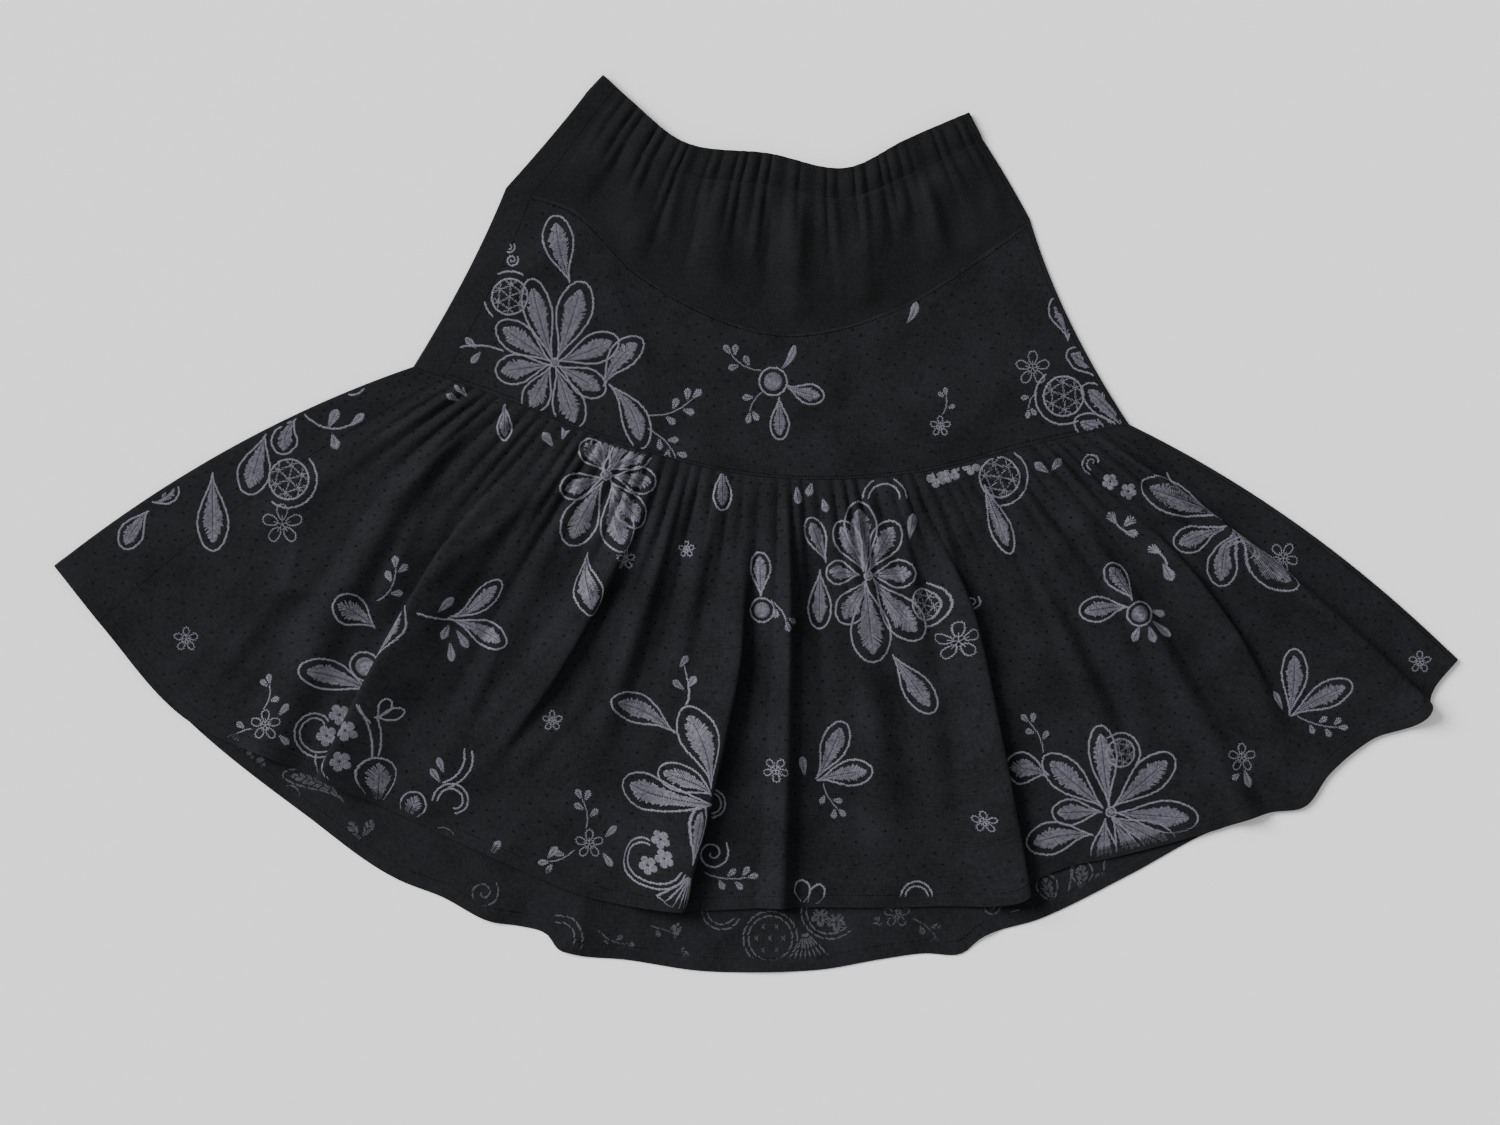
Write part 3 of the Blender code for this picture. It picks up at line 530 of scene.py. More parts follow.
def gather_height(gathers, share, level):
    """Uneven waves across, whose height blooms below the seam and fades further down."""
    uneven = sway(0.0, SPACING_WAVES, share, gathers.drift)
    strength = sway(MEAN_HEIGHT, HEIGHT_WAVES, share, gathers.drift)
    wave = (0.5 + 0.5 * np.sin(2.0 * np.pi * gathers.count * share + uneven)) ** GATHER_SHARPNESS
    bloom = gathers.top + (gathers.bloom - gathers.top) * ease(level, 0.0, gathers.bloom_at)
    fade = gathers.bloom * (1.0 - ease(level, gathers.bloom_at, gathers.fade_at))
    return GATHER_DEPTH * wave * strength * np.where(level < gathers.bloom_at, bloom, fade) / MILLIMETRES


def fold_shape(folds, share, level, length):
    """Squared cosines across each fold's line: their height, their sideways lean and how far they lap."""
    height = np.zeros_like(share)
    shift = np.zeros_like(share)
    lap = np.zeros_like(share)
    for fold in folds:
        centre = fold.top + (fold.bottom - fold.top) * level
        width = (fold.width_top + (fold.width_bottom - fold.width_top) * level) / MILLIMETRES
        away = np.clip((share - centre) * length / width, -1.0, 1.0)
        rise = ease(level, fold.start - FOLD_LEAD, fold.start + FOLD_RISE)
        fall = 1.0 - ease(level, fold.end - FOLD_FALL, fold.end)
        bump = np.cos(0.5 * np.pi * away) ** 2 * rise * fall
        height += bump * fold.height / MILLIMETRES
        shift += bump * fold.lean * width
        lap += bump * abs(fold.lean)
    return height, shift, np.minimum(lap, 1.0)


def calm_near_seams(share):
    """Share of the waves' height that is left: none beside the side seams and on the side folds."""
    left = ease(share, LEFT_SEAM_SHARE, LEFT_SEAM_SHARE + EDGE_CALM)
    right = 1.0 - ease(share, 1.0 - EDGE_CALM, 1.0 - FLAT_RIGHT * EDGE_CALM)
    return left * right


def side_point(name, side, share, level):
    """Mid surface of one side of a tier: plan position carried by the folds' lean, and the height."""
    tier = TIERS[name]
    plan = plan_point(tier, side, share, level)
    step = 0.002
    across = plan_point(tier, side, share + step, level) - plan_point(tier, side, share - step, level)
    across = across / np.linalg.norm(across, axis=-1, keepdims=True)
    front = side == "front"
    waves = np.zeros_like(share)
    for gathers in (FRONT_GATHERS if front else BACK_GATHERS)[name]:
        waves = waves + gather_height(gathers, share, level)
    shift = np.zeros_like(share)
    if name == "flounce":
        folds = FLOUNCE_FRONT_FOLDS if front else FLOUNCE_BACK_FOLDS
        height, shift, lap = fold_shape(folds, share, level, row_length(tier, side, level))
        waves = waves * (1.0 - lap) + height
    calm = calm_near_seams(share)
    base = 0.5 * tier.thickness
    if front:
        sink = ease(level, 0.0, 1.0)
        lift = (BACK_LIFT[tier.top] * (1.0 - sink) + BACK_LIFT[tier.bottom] * sink) / MILLIMETRES
        base = 1.5 * tier.thickness + LAYER_GAP + lift
    plan = plan + across * (shift * calm)[..., None]
    return np.concatenate([plan, (base + waves * calm)[..., None]], axis=-1)


def crease_height(creases, plan):
    """Rounded ridges in metres: a bell of the distance to each line, times its height, lower at its ends."""
    height = np.zeros(plan.shape[:-1])
    for crease in creases:
        start = from_photo(crease.x, crease.y)
        line = from_photo(crease.to_x, crease.to_y) - start
        along = ((plan - start) @ line) / (line @ line)
        off = plan - start - np.clip(along, 0.0, 1.0)[..., None] * line
        bell = np.exp(-(off ** 2).sum(axis=-1) / (crease.width / MILLIMETRES) ** 2)
        height += crease.height / MILLIMETRES * bell * (0.6 + 0.4 * np.sin(np.pi * np.clip(along, 0.0, 1.0)))
    return height


def crumple_height(plan, strength):
    """Faint unevenness of worn cloth: crossed waves of several lengths, never below the smooth surface."""
    waves = np.zeros(plan.shape[:-1])
    for number, (length, turn) in enumerate(CRUMPLE_WAVES):
        way = np.array([np.cos(np.radians(turn)), np.sin(np.radians(turn))])
        wander = 0.8 * np.sin(plan @ way[::-1] * 2.0 * np.pi / (2.3 * length) + 1.7 * number)
        waves += np.sin(plan @ way * 2.0 * np.pi / length + wander + 2.1 * number)
    return strength * (0.5 + 0.2 * waves)


def shown_point(name, side, share, level):
    """The side's surface with the creases that only the scene shows, which fade at its edges."""
    point = side_point(name, side, share, level)
    plan = point[..., :2]
    calm = calm_near_seams(share) * ease(level, 0.0, CREASES_IN) * (1.0 - ease(level, CREASES_OUT[name], 1.0))
    strength = CRUMPLE[name] * (1.0 if side == "front" else BACK_CRUMPLE)
    relief = crumple_height(plan, strength) + crease_height(CREASES.get((name, side), []), plan)
    point[..., 2] += relief * calm
    if side == "front" and name == "casing":
        point[..., 2] -= CASING_DROP * ease(level, CASING_DROP_START, 1.0)
    if side == "front" and name == "yoke":
        point[..., 2] += YOKE_RISE * (1.0 - ease(level, 0.0, YOKE_RISE_END))
    return point


def way_down(name, side, share, level):
    """Unit plan direction from a tier's top towards its bottom."""
    tier = TIERS[name]
    step = 0.01
    way = plan_point(tier, side, share, np.minimum(level + step, 1.0))
    way = way - plan_point(tier, side, share, np.maximum(level - step, 0.0))
    return way / np.linalg.norm(way, axis=-1, keepdims=True)


def between(first, last, steps):
    """Each row's shares from its first to its last, at steps from 0 to 1."""
    return first[:, None] * (1.0 - steps) + last[:, None] * steps


def front_grid(name, columns, levels):
    """Mid surface, way down and cloth position of a front panel, as arrays of levels by columns."""
    length = row_length(TIERS[name], "front", levels)
    inset = (0.5 * SEAM_GAP) / length
    first = LEFT_SEAM_SHARE + inset
    last = 1.0 - RIGHT_SEAM_INSET / length - inset
    share = between(first, last, np.linspace(0.0, 1.0, columns + 1))
    level = np.repeat(levels[:, None], columns + 1, axis=1)
    return shown_point(name, "front", share, level), -way_down(name, "front", share, level), share, level


def back_grid(name, columns, levels):
    """The same for a back panel: from its left seam round the fold, under, and up at the right."""
    tier = TIERS[name]
    angles = np.radians(np.linspace(EDGE_ANGLE, -EDGE_ANGLE, EDGE_POINTS))
    front_length = row_length(tier, "front", levels)
    back_length = row_length(tier, "back", levels)
    edge = np.zeros_like(levels)
    front_edge = side_point(name, "front", edge, levels)
    back_edge = side_point(name, "back", edge, levels)
    radius = 0.5 * (front_edge[:, 2] - back_edge[:, 2])
    inset = 0.5 * THIN + radius[:, None] * (1.0 - np.cos(angles))
    turn = 0.5 * THIN + radius
    upper = angles >= 0.0
    start = LEFT_SEAM_SHARE - 0.5 * SEAM_GAP / front_length
    end = 1.0 - (RIGHT_SEAM_INSET - 0.5 * SEAM_GAP) / front_length
    left = between(start, turn / front_length, np.linspace(0.0, 1.0, EDGE_POINTS))
    under = between(turn / back_length, 1.0 - turn / back_length, np.linspace(0.0, 1.0, columns + 1))
    right = between(1.0 - turn / front_length, end, np.linspace(0.0, 1.0, RIGHT_POINTS))
    arc_front = inset[:, upper] / front_length[:, None]
    arc_back = inset[:, ~upper] / back_length[:, None]
    share = np.concatenate([left, arc_front, arc_back, under, 1.0 - arc_back[:, ::-1],
                            1.0 - arc_front[:, ::-1], right], axis=1)
    swing = np.concatenate([np.ones(EDGE_POINTS), np.sin(angles), -np.ones(columns + 1),
                            np.sin(angles[::-1]), np.ones(RIGHT_POINTS)])
    level = np.repeat(levels[:, None], share.shape[1], axis=1)
    front = shown_point(name, "front", share, level)
    back = shown_point(name, "back", share, level)
    is_front = (swing >= 0.0)[None, :, None]
    points = np.where(is_front, front, back)
    points[..., 2] = back[..., 2] + (front[..., 2] - back[..., 2]) * (swing + 1.0) / 2.0
    down = np.where(is_front, way_down(name, "front", share, level), way_down(name, "back", share, level))
    return points, down, share * np.sign(swing + 0.001), level


def new_object(name, data):
    """New object in the scene, at the origin."""
    item = bpy.data.objects.new(name, data)
    bpy.context.scene.collection.objects.link(item)
    return item


def new_mesh(name, corners, face_corners, face_starts):
    """Mesh from its corners' places, the corners of all faces in one row, and where each face starts."""
    mesh = bpy.data.meshes.new(name)
    mesh.vertices.add(len(corners))
    mesh.vertices.foreach_set("co", corners.astype(np.float32).ravel())
    mesh.loops.add(len(face_corners))
    mesh.loops.foreach_set("vertex_index", face_corners.astype(np.int32))
    mesh.polygons.add(len(face_starts))
    mesh.polygons.foreach_set("loop_start", face_starts.astype(np.int32))
    mesh.update(calc_edges=True)
    return mesh


def shell_mesh(name, points, down, thickness, cloth, leftwards):
    """Closed thin wall about a mid surface: two skins half a thickness out along the normal, and a rim."""
    across = np.gradient(points, axis=1)
    way = np.concatenate([down, np.zeros(down.shape[:2] + (1,))], axis=-1)
    out = np.cross(across, way)
    out = out / np.linalg.norm(out, axis=-1, keepdims=True)
    half = 0.5 * (thickness if np.ndim(thickness) == 0 else thickness[..., None])
    corners = np.concatenate([(points + out * half).reshape(-1, 3), (points - out * half).reshape(-1, 3)])
    rows, columns = points.shape[:2]
    number = np.arange(rows * columns).reshape(rows, columns)
    outer = np.stack([number[:-1, :-1], number[:-1, 1:], number[1:, 1:], number[1:, :-1]], axis=-1)
    outer = outer.reshape(-1, 4)
    inner = outer[:, ::-1] + rows * columns
    rim = np.concatenate([number[0, :], number[1:, -1], number[-1, -2::-1], number[-2:0:-1, 0]])
    after = np.roll(rim, -1)
    border = np.stack([after, rim, rim + rows * columns, after + rows * columns], axis=-1)
    faces = np.concatenate([outer, inner, border])
    if not leftwards:
        faces = faces[:, ::-1]
    mesh = new_mesh(name, corners, faces.ravel(), np.arange(0, faces.size, 4))
    layer = mesh.uv_layers.new(name="cloth")
    places = np.concatenate([cloth.reshape(-1, 2), cloth.reshape(-1, 2)])
    layer.data.foreach_set("uv", places[faces.ravel()].astype(np.float32).ravel())
    mesh.shade_smooth()
    mesh.set_sharp_from_angle(angle=np.radians(SHARP_ANGLE))
    return new_object(name, mesh)


def resample(path, step):
    """A path cut anew at even steps of about this length."""
    length = np.concatenate([[0.0], np.cumsum(np.linalg.norm(np.diff(path, axis=0), axis=1))])
    count = max(2, int(round(length[-1] / step)) + 1)
    even = np.linspace(0.0, length[-1], count)
    return np.stack([np.interp(even, length, path[:, axis]) for axis in range(2)], axis=1)


def rope(path, width=ROPE_WIDTH, step=ROPE_STEP):
    """Stem stitch along a path in pixels: each stitch is longer than its step and turned a little off it."""
    points = resample(np.asarray(path, float), step * PIXELS)
    way = np.diff(points, axis=0)
    middle = 0.5 * (points[1:] + points[:-1])
    beside = np.stack([-way[:, 1], way[:, 0]], axis=1)
    middle = middle + RANDOM.uniform(-ROPE_STRAY, ROPE_STRAY, (len(way), 1)) * beside
    half = ROPE_REACH * way + ROPE_SLANT * beside
    return np.column_stack([middle - half, middle + half, np.full(len(way), width), np.zeros(len(way))])


def petal_profile(along):
    """Half width of a petal along its length, as a share of the greatest: narrow base, round tip."""
    return np.sin(np.pi * np.clip(along, 0.0, 1.0) ** 1.6) ** (0.98 - 0.50 * along)


def fill_profile(along):
    """The same for the satin inside it, which is pointed at both ends."""
    return np.sin(np.pi * np.clip((along - 0.06) / 0.84, 0.0, 1.0) ** 1.45) ** 0.8


def leaf_profile(along):
    """The same for a small leaf, widest past its middle."""
    return np.sin(np.pi * np.clip(along, 0.0, 1.0) ** 1.5) ** 0.6


def spine(motif, along):
    """Points at shares along a motif's middle line, a flat parabola, and the direction beside it."""
    start = np.array([motif.x, motif.y], float)
    way = np.array([motif.to_x, motif.to_y], float) - start
    beside = np.array([-way[1], way[0]])
    bow = motif.bend * 4.0 * along * (1.0 - along)
    points = start + along[:, None] * way + bow[:, None] * beside
    slope = way + (motif.bend * 4.0 * (1.0 - 2.0 * along))[:, None] * beside
    slope = slope / np.linalg.norm(slope, axis=1)[:, None]
    return points, np.stack([-slope[:, 1], slope[:, 0]], axis=1)


def reach_of(motif):
    """Distance from a motif's first point to its second."""
    return np.hypot(motif.to_x - motif.x, motif.to_y - motif.y)


def feather(motif, profile, share, first, last, jag, tone):
    """Satin stitches from the middle line outwards and forwards to both edges of the shape."""
    length = reach_of(motif)
    along = np.arange(first, last, SATIN_STEP * PIXELS / length)
    stitches = []
    for turn in (-1.0, 1.0):
        uneven = RANDOM.uniform(1.0 - jag, 1.0 + 0.6 * jag, len(along))
        reach = 0.5 * motif.size * share * profile(along) * uneven
        ahead = np.minimum(along + SATIN_LEAN * reach / length, last + SATIN_PAST)
        reach = np.minimum(reach, 0.5 * motif.size * share * profile(ahead) * uneven)
        inner, beside = spine(motif, along)
        outer, outer_beside = spine(motif, ahead)
        ends = outer + turn * reach[:, None] * outer_beside
        stitches.append(np.column_stack([inner + turn * SATIN_PARTING * beside, ends,
                                         np.full(len(along), SATIN_WIDTH), np.full(len(along), tone)]))
    return np.concatenate(stitches)


def outline(motif, profile):
    """Rope along both edges of the shape."""
    along = np.linspace(0.0, 1.0, 60) ** 0.8
    points, beside = spine(motif, along)
    reach = 0.5 * motif.size * profile(along)[:, None]
    path = np.concatenate([points - reach * beside, (points + reach * beside)[::-1]])
    return rope(path)


def petal(motif):
    """An outline about a narrower, ragged satin fill."""
    edge = outline(motif, petal_profile)
    fill = feather(motif, fill_profile, share=0.62, first=0.08, last=0.88, jag=0.24, tone=1.0)
    return np.concatenate([edge, fill])


def leaf(motif):
    """A drop of smooth satin stitches without an outline."""
    return feather(motif, leaf_profile, share=1.1, first=0.02, last=0.97, jag=0.06, tone=0.0)


def loop(motif):
    """A petal's outline alone."""
    return outline(motif, petal_profile)


def sprig(motif):
    """A thin stem with a few drop-shaped leaves, in turn on one side and the other, and one at its tip."""
    stem, _ = spine(motif, np.linspace(0.0, 1.0, 12))
    parts = [rope(stem, THIN_WIDTH, THIN_STEP)]
    count = max(2, int(round(reach_of(motif) / LEAF_SPACING)))
    points, beside = spine(motif, np.linspace(0.32, 0.88, count))
    for number, (point, side) in enumerate(zip(points, beside)):
        ahead = np.array([side[1], -side[0]])
        turn = 1.0 if number % 2 == 0 else -1.0
        base = point + 2.0 * (0.6 * ahead + 0.8 * turn * side)
        tip = point + 1.15 * motif.size * (0.66 * ahead + 0.75 * turn * side)
        parts.append(leaf(Motif("leaf", *base, *tip, 0.5 * motif.size)))
    end, beside = spine(motif, np.array([1.0]))
    tip = end[0] + motif.size * np.array([beside[0][1], -beside[0][0]])
    parts.append(leaf(Motif("leaf", *end[0], *tip, 0.5 * motif.size)))
    return np.concatenate(parts)


def line(motif):
    """A rope along the motif's middle line."""
    points, _ = spine(motif, np.linspace(0.0, 1.0, 20))
    return rope(points)


def facing(motif):
    """Angle from a motif's centre to the point that it faces."""
    return np.arctan2(motif.to_y - motif.y, motif.to_x - motif.x)


def ring(motif, radius, start, end):
    """Points of an arc about a motif's centre; the radius may change along it."""
    angle = np.linspace(start, end, RING_POINTS)
    return np.stack([motif.x + radius * np.cos(angle), motif.y + radius * np.sin(angle)], axis=1)


def spokes(motif, inner, outer, count, width, tone):
    """Straight stitches out from a motif's centre, between two shares of its radius."""
    angle = facing(motif) + np.linspace(0.0, 2.0 * np.pi, count, endpoint=False)
    way = motif.size * np.stack([np.cos(angle), np.sin(angle)], axis=1)
    centre = np.array([motif.x, motif.y])
    return np.column_stack([centre + inner * way, centre + outer * way,
                            np.full(count, width), np.full(count, tone)])


def circle(motif):
    """A ring about a round satin fill."""
    edge = rope(ring(motif, motif.size, 0.0, 2.0 * np.pi))
    count = int(2.2 * motif.size)
    fill = spokes(motif, inner=0.02, outer=0.62, count=count, width=SATIN_WIDTH, tone=1.0)
    return np.concatenate([edge, fill])


def flower(motif):
    """Five oval loops about a star of short stitches."""
    parts = [spokes(motif, inner=0.0, outer=0.42, count=5, width=THIN_WIDTH, tone=0.0)]
    angle = np.linspace(0.0, 2.0 * np.pi, 41)
    along = motif.size * (0.60 - 0.40 * np.cos(angle))
    off = motif.size * 0.31 * np.sin(angle) * (0.45 + 0.55 * along / motif.size)
    for turn in facing(motif) + np.linspace(0.0, 2.0 * np.pi, 5, endpoint=False):
        oval = np.stack([motif.x + along * np.cos(turn) - off * np.sin(turn),
                         motif.y + along * np.sin(turn) + off * np.cos(turn)], axis=1)
        parts.append(rope(oval, THIN_WIDTH, THIN_STEP))
    return np.concatenate(parts)


def floret(motif):
    """Five round lobes about the centre, each filled with stitches that run outwards."""
    parts = []
    radius = 0.40 * motif.size
    offset = radius * np.linspace(-0.8, 0.8, 5)[:, None]
    half = np.sqrt(radius ** 2 - offset ** 2)
    for angle in facing(motif) + 0.4 * np.pi * np.arange(5):
        ahead = np.array([np.cos(angle), np.sin(angle)])
        beside = np.array([-ahead[1], ahead[0]])
        middle = np.array([motif.x, motif.y]) + 0.60 * motif.size * ahead + offset * beside
        parts.append(np.column_stack([middle - 1.25 * half * ahead, middle + half * ahead,
                                      np.full(5, SATIN_WIDTH), np.zeros(5)]))
    return np.concatenate(parts)


def wheel(motif):
    """A ring filled with a triangular lattice, and a wider arc on the side it faces."""
    parts = [rope(ring(motif, motif.size, 0.0, 2.0 * np.pi))]
    centre = np.array([motif.x, motif.y])
    spacing = 0.60 * motif.size
    for turn in range(3):
        angle = facing(motif) + np.pi * turn / 3.0
        way = np.array([np.cos(angle), np.sin(angle)])
        beside = np.array([-way[1], way[0]])
        for offset in spacing * np.array([-1.0, 0.0, 1.0]):
            half = np.sqrt(motif.size ** 2 - offset ** 2)
            ends = centre + offset * beside + np.array([[-half], [half]]) * way
            parts.append(rope(ends, LATTICE_WIDTH, LATTICE_STEP))
    turn = facing(motif)
    parts.append(rope(ring(motif, 1.42 * motif.size, turn - ARC_HALF, turn + ARC_HALF)))
    return np.concatenate(parts)


def medallion(motif):
    """Two rings about seven small stars."""
    parts = [rope(ring(motif, share * motif.size, 0.0, 2.0 * np.pi)) for share in (0.82, 1.0)]
    spots = [(0.0, 0.0)] + [(0.5 * np.cos(turn), 0.5 * np.sin(turn)) for turn in np.arange(6) * np.pi / 3.0]
    for across, along in spots:
        x, y = motif.x + across * motif.size, motif.y + along * motif.size
        star = Motif("star", x, y, x + 1.0, y, STAR_SIZE)
        parts.append(spokes(star, inner=0.0, outer=1.0, count=5, width=THIN_WIDTH, tone=0.0))
    return np.concatenate(parts)


def arc(motif):
    """Two arcs about one centre, on the side that it faces."""
    turn = facing(motif)
    parts = [rope(ring(motif, share * motif.size, turn - ARC_HALF, turn + ARC_HALF)) for share in (0.72, 1.0)]
    return np.concatenate(parts)


def curl(motif):
    """A spiral whose radius shrinks evenly over 1.6 turns."""
    turn = facing(motif)
    shrink = np.linspace(1.0, 0.15, RING_POINTS)
    return rope(ring(motif, motif.size * shrink, turn, turn + 3.2 * np.pi))


def scroll(motif):
    """Two lines side by side that curl inwards."""
    turn = facing(motif)
    shrink = 1.0 - 0.45 * np.linspace(0.0, 1.0, RING_POINTS) ** 2
    outer = ring(motif, motif.size * shrink, turn - 2.0, turn + 2.3)
    inner = ring(motif, motif.size * shrink - SCROLL_GAP, turn - 2.0, turn + 2.3)
    return np.concatenate([rope(outer), rope(inner)])


def fan(motif):
    """Ribs that spread from a point, closed by an arc."""
    turn = facing(motif)
    parts = [rope(ring(motif, motif.size, turn - FAN_HALF, turn + FAN_HALF))]
    for angle in np.linspace(turn - FAN_HALF, turn + FAN_HALF, 7):
        way = np.array([np.cos(angle), np.sin(angle)])
        ends = np.array([motif.x, motif.y]) + np.array([[0.1], [0.98]]) * motif.size * way
        parts.append(rope(ends))
    return np.concatenate(parts)


DRAW = {"petal": petal, "leaf": leaf, "sprig": sprig, "line": line, "circle": circle, "flower": flower,
        "floret": floret, "loop": loop, "medallion": medallion, "wheel": wheel, "arc": arc, "curl": curl,
        "scroll": scroll, "fan": fan}


def split_long(stitches, owner):
    """Stitches cut into equal parts that overlap a little and are short enough to follow the cloth."""
    reach = np.linalg.norm(stitches[:, 2:4] - stitches[:, :2], axis=1) * METRES_PER_PIXEL
    count = np.maximum(1, np.ceil(reach / LONGEST_STITCH).astype(int))
    number = np.repeat(np.arange(len(stitches)), count)
    part = np.arange(len(number)) - np.repeat(np.cumsum(count) - count, count)
    low = (part / count[number])[:, None]
    high = ((part + PART_LENGTH) / count[number])[:, None]
    start, way = stitches[number, :2], (stitches[:, 2:4] - stitches[:, :2])[number]
    return np.column_stack([start + low * way, start + high * way, stitches[number, 4:]]), owner[number]


def unroll(name, side, plan, share, level):
    """Share and level of plan positions, by Newton steps from a start."""
    tier = TIERS[name]
    step = 0.001
    for _ in range(6):
        here = plan_point(tier, side, share, level)
        by_share = (plan_point(tier, side, share + step, level) - here) / step
        by_level = (plan_point(tier, side, share, level + step) - here) / step
        miss = plan - here
        area = by_share[..., 0] * by_level[..., 1] - by_share[..., 1] * by_level[..., 0]
        share = share + (miss[..., 0] * by_level[..., 1] - miss[..., 1] * by_level[..., 0]) / area
        level = level + (by_share[..., 0] * miss[..., 1] - by_share[..., 1] * miss[..., 0]) / area
        share = np.clip(share, -0.3, 1.3)
        level = np.clip(level, -0.6, 1.6)
    return share, level


def lap_offset(name, side, share, level, plan):
    """How far along the row each motif moves, so that it shows where it is seen, on top of any lap."""
    tries = np.linspace(-LAP_REACH, LAP_REACH, LAP_TRIES)
    level = np.repeat(level[:, None], len(tries), axis=1)
    place = side_point(name, side, share[:, None] + tries, level)
    miss = np.linalg.norm(place[..., :2] - plan[:, None], axis=-1)
    score = np.where(miss < LAP_MISS, 1.0 + 10.0 * place[..., 2], -miss)
    return tries[np.argmax(score, axis=1)]


def motif_stretch(name, side, share, level, reach):
    """One over the mean speed of the folded cloth past the flat, where it runs forwards, at each motif."""
    tier = TIERS[name]
    length = row_length(tier, side, level)
    step = 0.0015
    near = share[:, None] + np.linspace(-0.8, 0.8, SPEED_TRIES) * (reach / length)[:, None]
    levels = np.repeat(level[:, None], SPEED_TRIES, axis=1)
    flat = plan_point(tier, side, near + step, levels) - plan_point(tier, side, near - step, levels)
    folded = side_point(name, side, near + step, levels) - side_point(name, side, near - step, levels)
    speed = (flat * folded[..., :2]).sum(axis=2) / (flat ** 2).sum(axis=2)
    forward = speed > FORWARD_SPEED
    mean = np.where(forward, speed, 0.0).sum(axis=1) / np.maximum(forward.sum(axis=1), 1)
    return np.clip(1.0 / np.maximum(mean, LEAST_SPEED), *MOTIF_STRETCH)


def sewn_mesh(name, tier_name, side, ends, width, height, share, level, move, facing_up, tone, span):
    """A small roof of four corners and a ridge for each stitch, on the cloth's outer skin.

    Move holds how far each stitch goes along the row, and how much its motif is stretched along it.
    """
    way = ends[:, 1] - ends[:, 0]
    beside = np.stack([-way[:, 1], way[:, 0]], axis=1)
    beside = beside / np.linalg.norm(beside, axis=1)[:, None] * 0.5 * width[:, None]
    corners = np.stack([ends[:, 0] - beside, ends[:, 0] + beside, ends[:, 1] + beside, ends[:, 1] - beside,
                        ends[:, 0] + 0.2 * way, ends[:, 1] - 0.2 * way], axis=1)
    spread = np.ones(6)
    middle = share
    share, level = unroll(tier_name, side, corners, share[:, None] * spread, level[:, None] * spread)
    share = middle[:, None] + (share - middle[:, None]) * move[:, 1:] + move[:, :1]
    inside = (share > STITCH_SHARES[0]) & (share < STITCH_SHARES[1])
    inside = inside & (level > STITCH_LEVELS[0]) & (level < STITCH_LEVELS[1])
    keep = inside.all(axis=1) & (share.mean(axis=1) > span[0]) & (share.mean(axis=1) < span[1])
    share, level, height, tone = share[keep], level[keep], height[keep], tone[keep]
    points = shown_point(tier_name, side, share, level)
    step = 0.0006
    middle_share, middle_level = share.mean(axis=1), level.mean(axis=1)
    here = shown_point(tier_name, side, middle_share, middle_level)
    across = shown_point(tier_name, side, middle_share + step, middle_level) - here
    down = shown_point(tier_name, side, middle_share, middle_level + step) - here
    out = np.cross(down, across)
    out = out / np.linalg.norm(out, axis=1)[:, None] * (1.0 if facing_up else -1.0)
    rise = np.where(np.arange(6) < 4, 0.5 * THIN - STITCH_SINK, 0.5 * THIN)[None, :] + np.zeros((len(out), 6))
    rise[:, 4:] += height[:, None]
    points = points + out[:, None, :] * rise[..., None]
    first = 6 * np.arange(len(points))[:, None]
    threes = np.concatenate([first + np.array([[0, 4, 1]]), first + np.array([[2, 5, 3]])])
    fours = np.concatenate([first + np.array([[1, 4, 5, 2]]), first + np.array([[3, 5, 4, 0]])])
    if not facing_up:
        threes, fours = threes[:, ::-1], fours[:, ::-1]
    face_corners = np.concatenate([threes.ravel(), fours.ravel()])
    face_starts = np.concatenate([3 * np.arange(len(threes)), 3 * len(threes) + 4 * np.arange(len(fours))])
    mesh = new_mesh(name, points.reshape(-1, 3), face_corners, face_starts)
    mesh.polygons.foreach_set("material_index", np.tile(tone, 4).astype(np.int32))
    piece = new_object(name, mesh)
    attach(piece, "root")
    return piece


def embroider(name, tier_name, side, motifs, facing_up, dashed, height, span):
    """All the motifs of one panel as one piece, each moved and stretched so that it shows as it is drawn."""
    drawn = [DRAW[motif.kind](motif) for motif in motifs]
    owner = np.repeat(np.arange(len(drawn)), [len(stitches) for stitches in drawn])
    stitches, owner = split_long(np.concatenate(drawn), owner)
    if dashed:
        keep = np.arange(len(stitches)) % 5 < 4
        stitches, owner = stitches[keep], owner[keep]
    groups = [stitches[owner == number] for number in range(len(motifs))]
    middle = np.array([group[:, :4].reshape(-1, 2).mean(axis=0) for group in groups])
    wide = np.array([np.ptp(group[:, [0, 2]]) for group in groups])
    plan = from_photo(middle[:, 0], middle[:, 1])
    share_grid, level_grid = np.meshgrid(np.linspace(0.0, 1.0, 81), np.linspace(0.0, 1.0, 21))
    grid = plan_point(TIERS[tier_name], side, share_grid, level_grid).reshape(-1, 2)
    nearest = np.argmin(np.linalg.norm(grid[None] - plan[:, None], axis=2), axis=1)
    share, level = unroll(tier_name, side, plan, share_grid.ravel()[nearest], level_grid.ravel()[nearest])
    offset = lap_offset(tier_name, side, share, level, plan)
    stretch = motif_stretch(tier_name, side, share + offset, level, 0.5 * wide * METRES_PER_PIXEL)
    move = np.stack([offset, stretch], axis=1)
    ends = from_photo(stitches[:, [0, 2]], stitches[:, [1, 3]])
    return sewn_mesh(name, tier_name, side, ends, stitches[:, 4], np.full(len(ends), height), share[owner],
                     level[owner], move[owner], facing_up, stitches[:, 5], span)


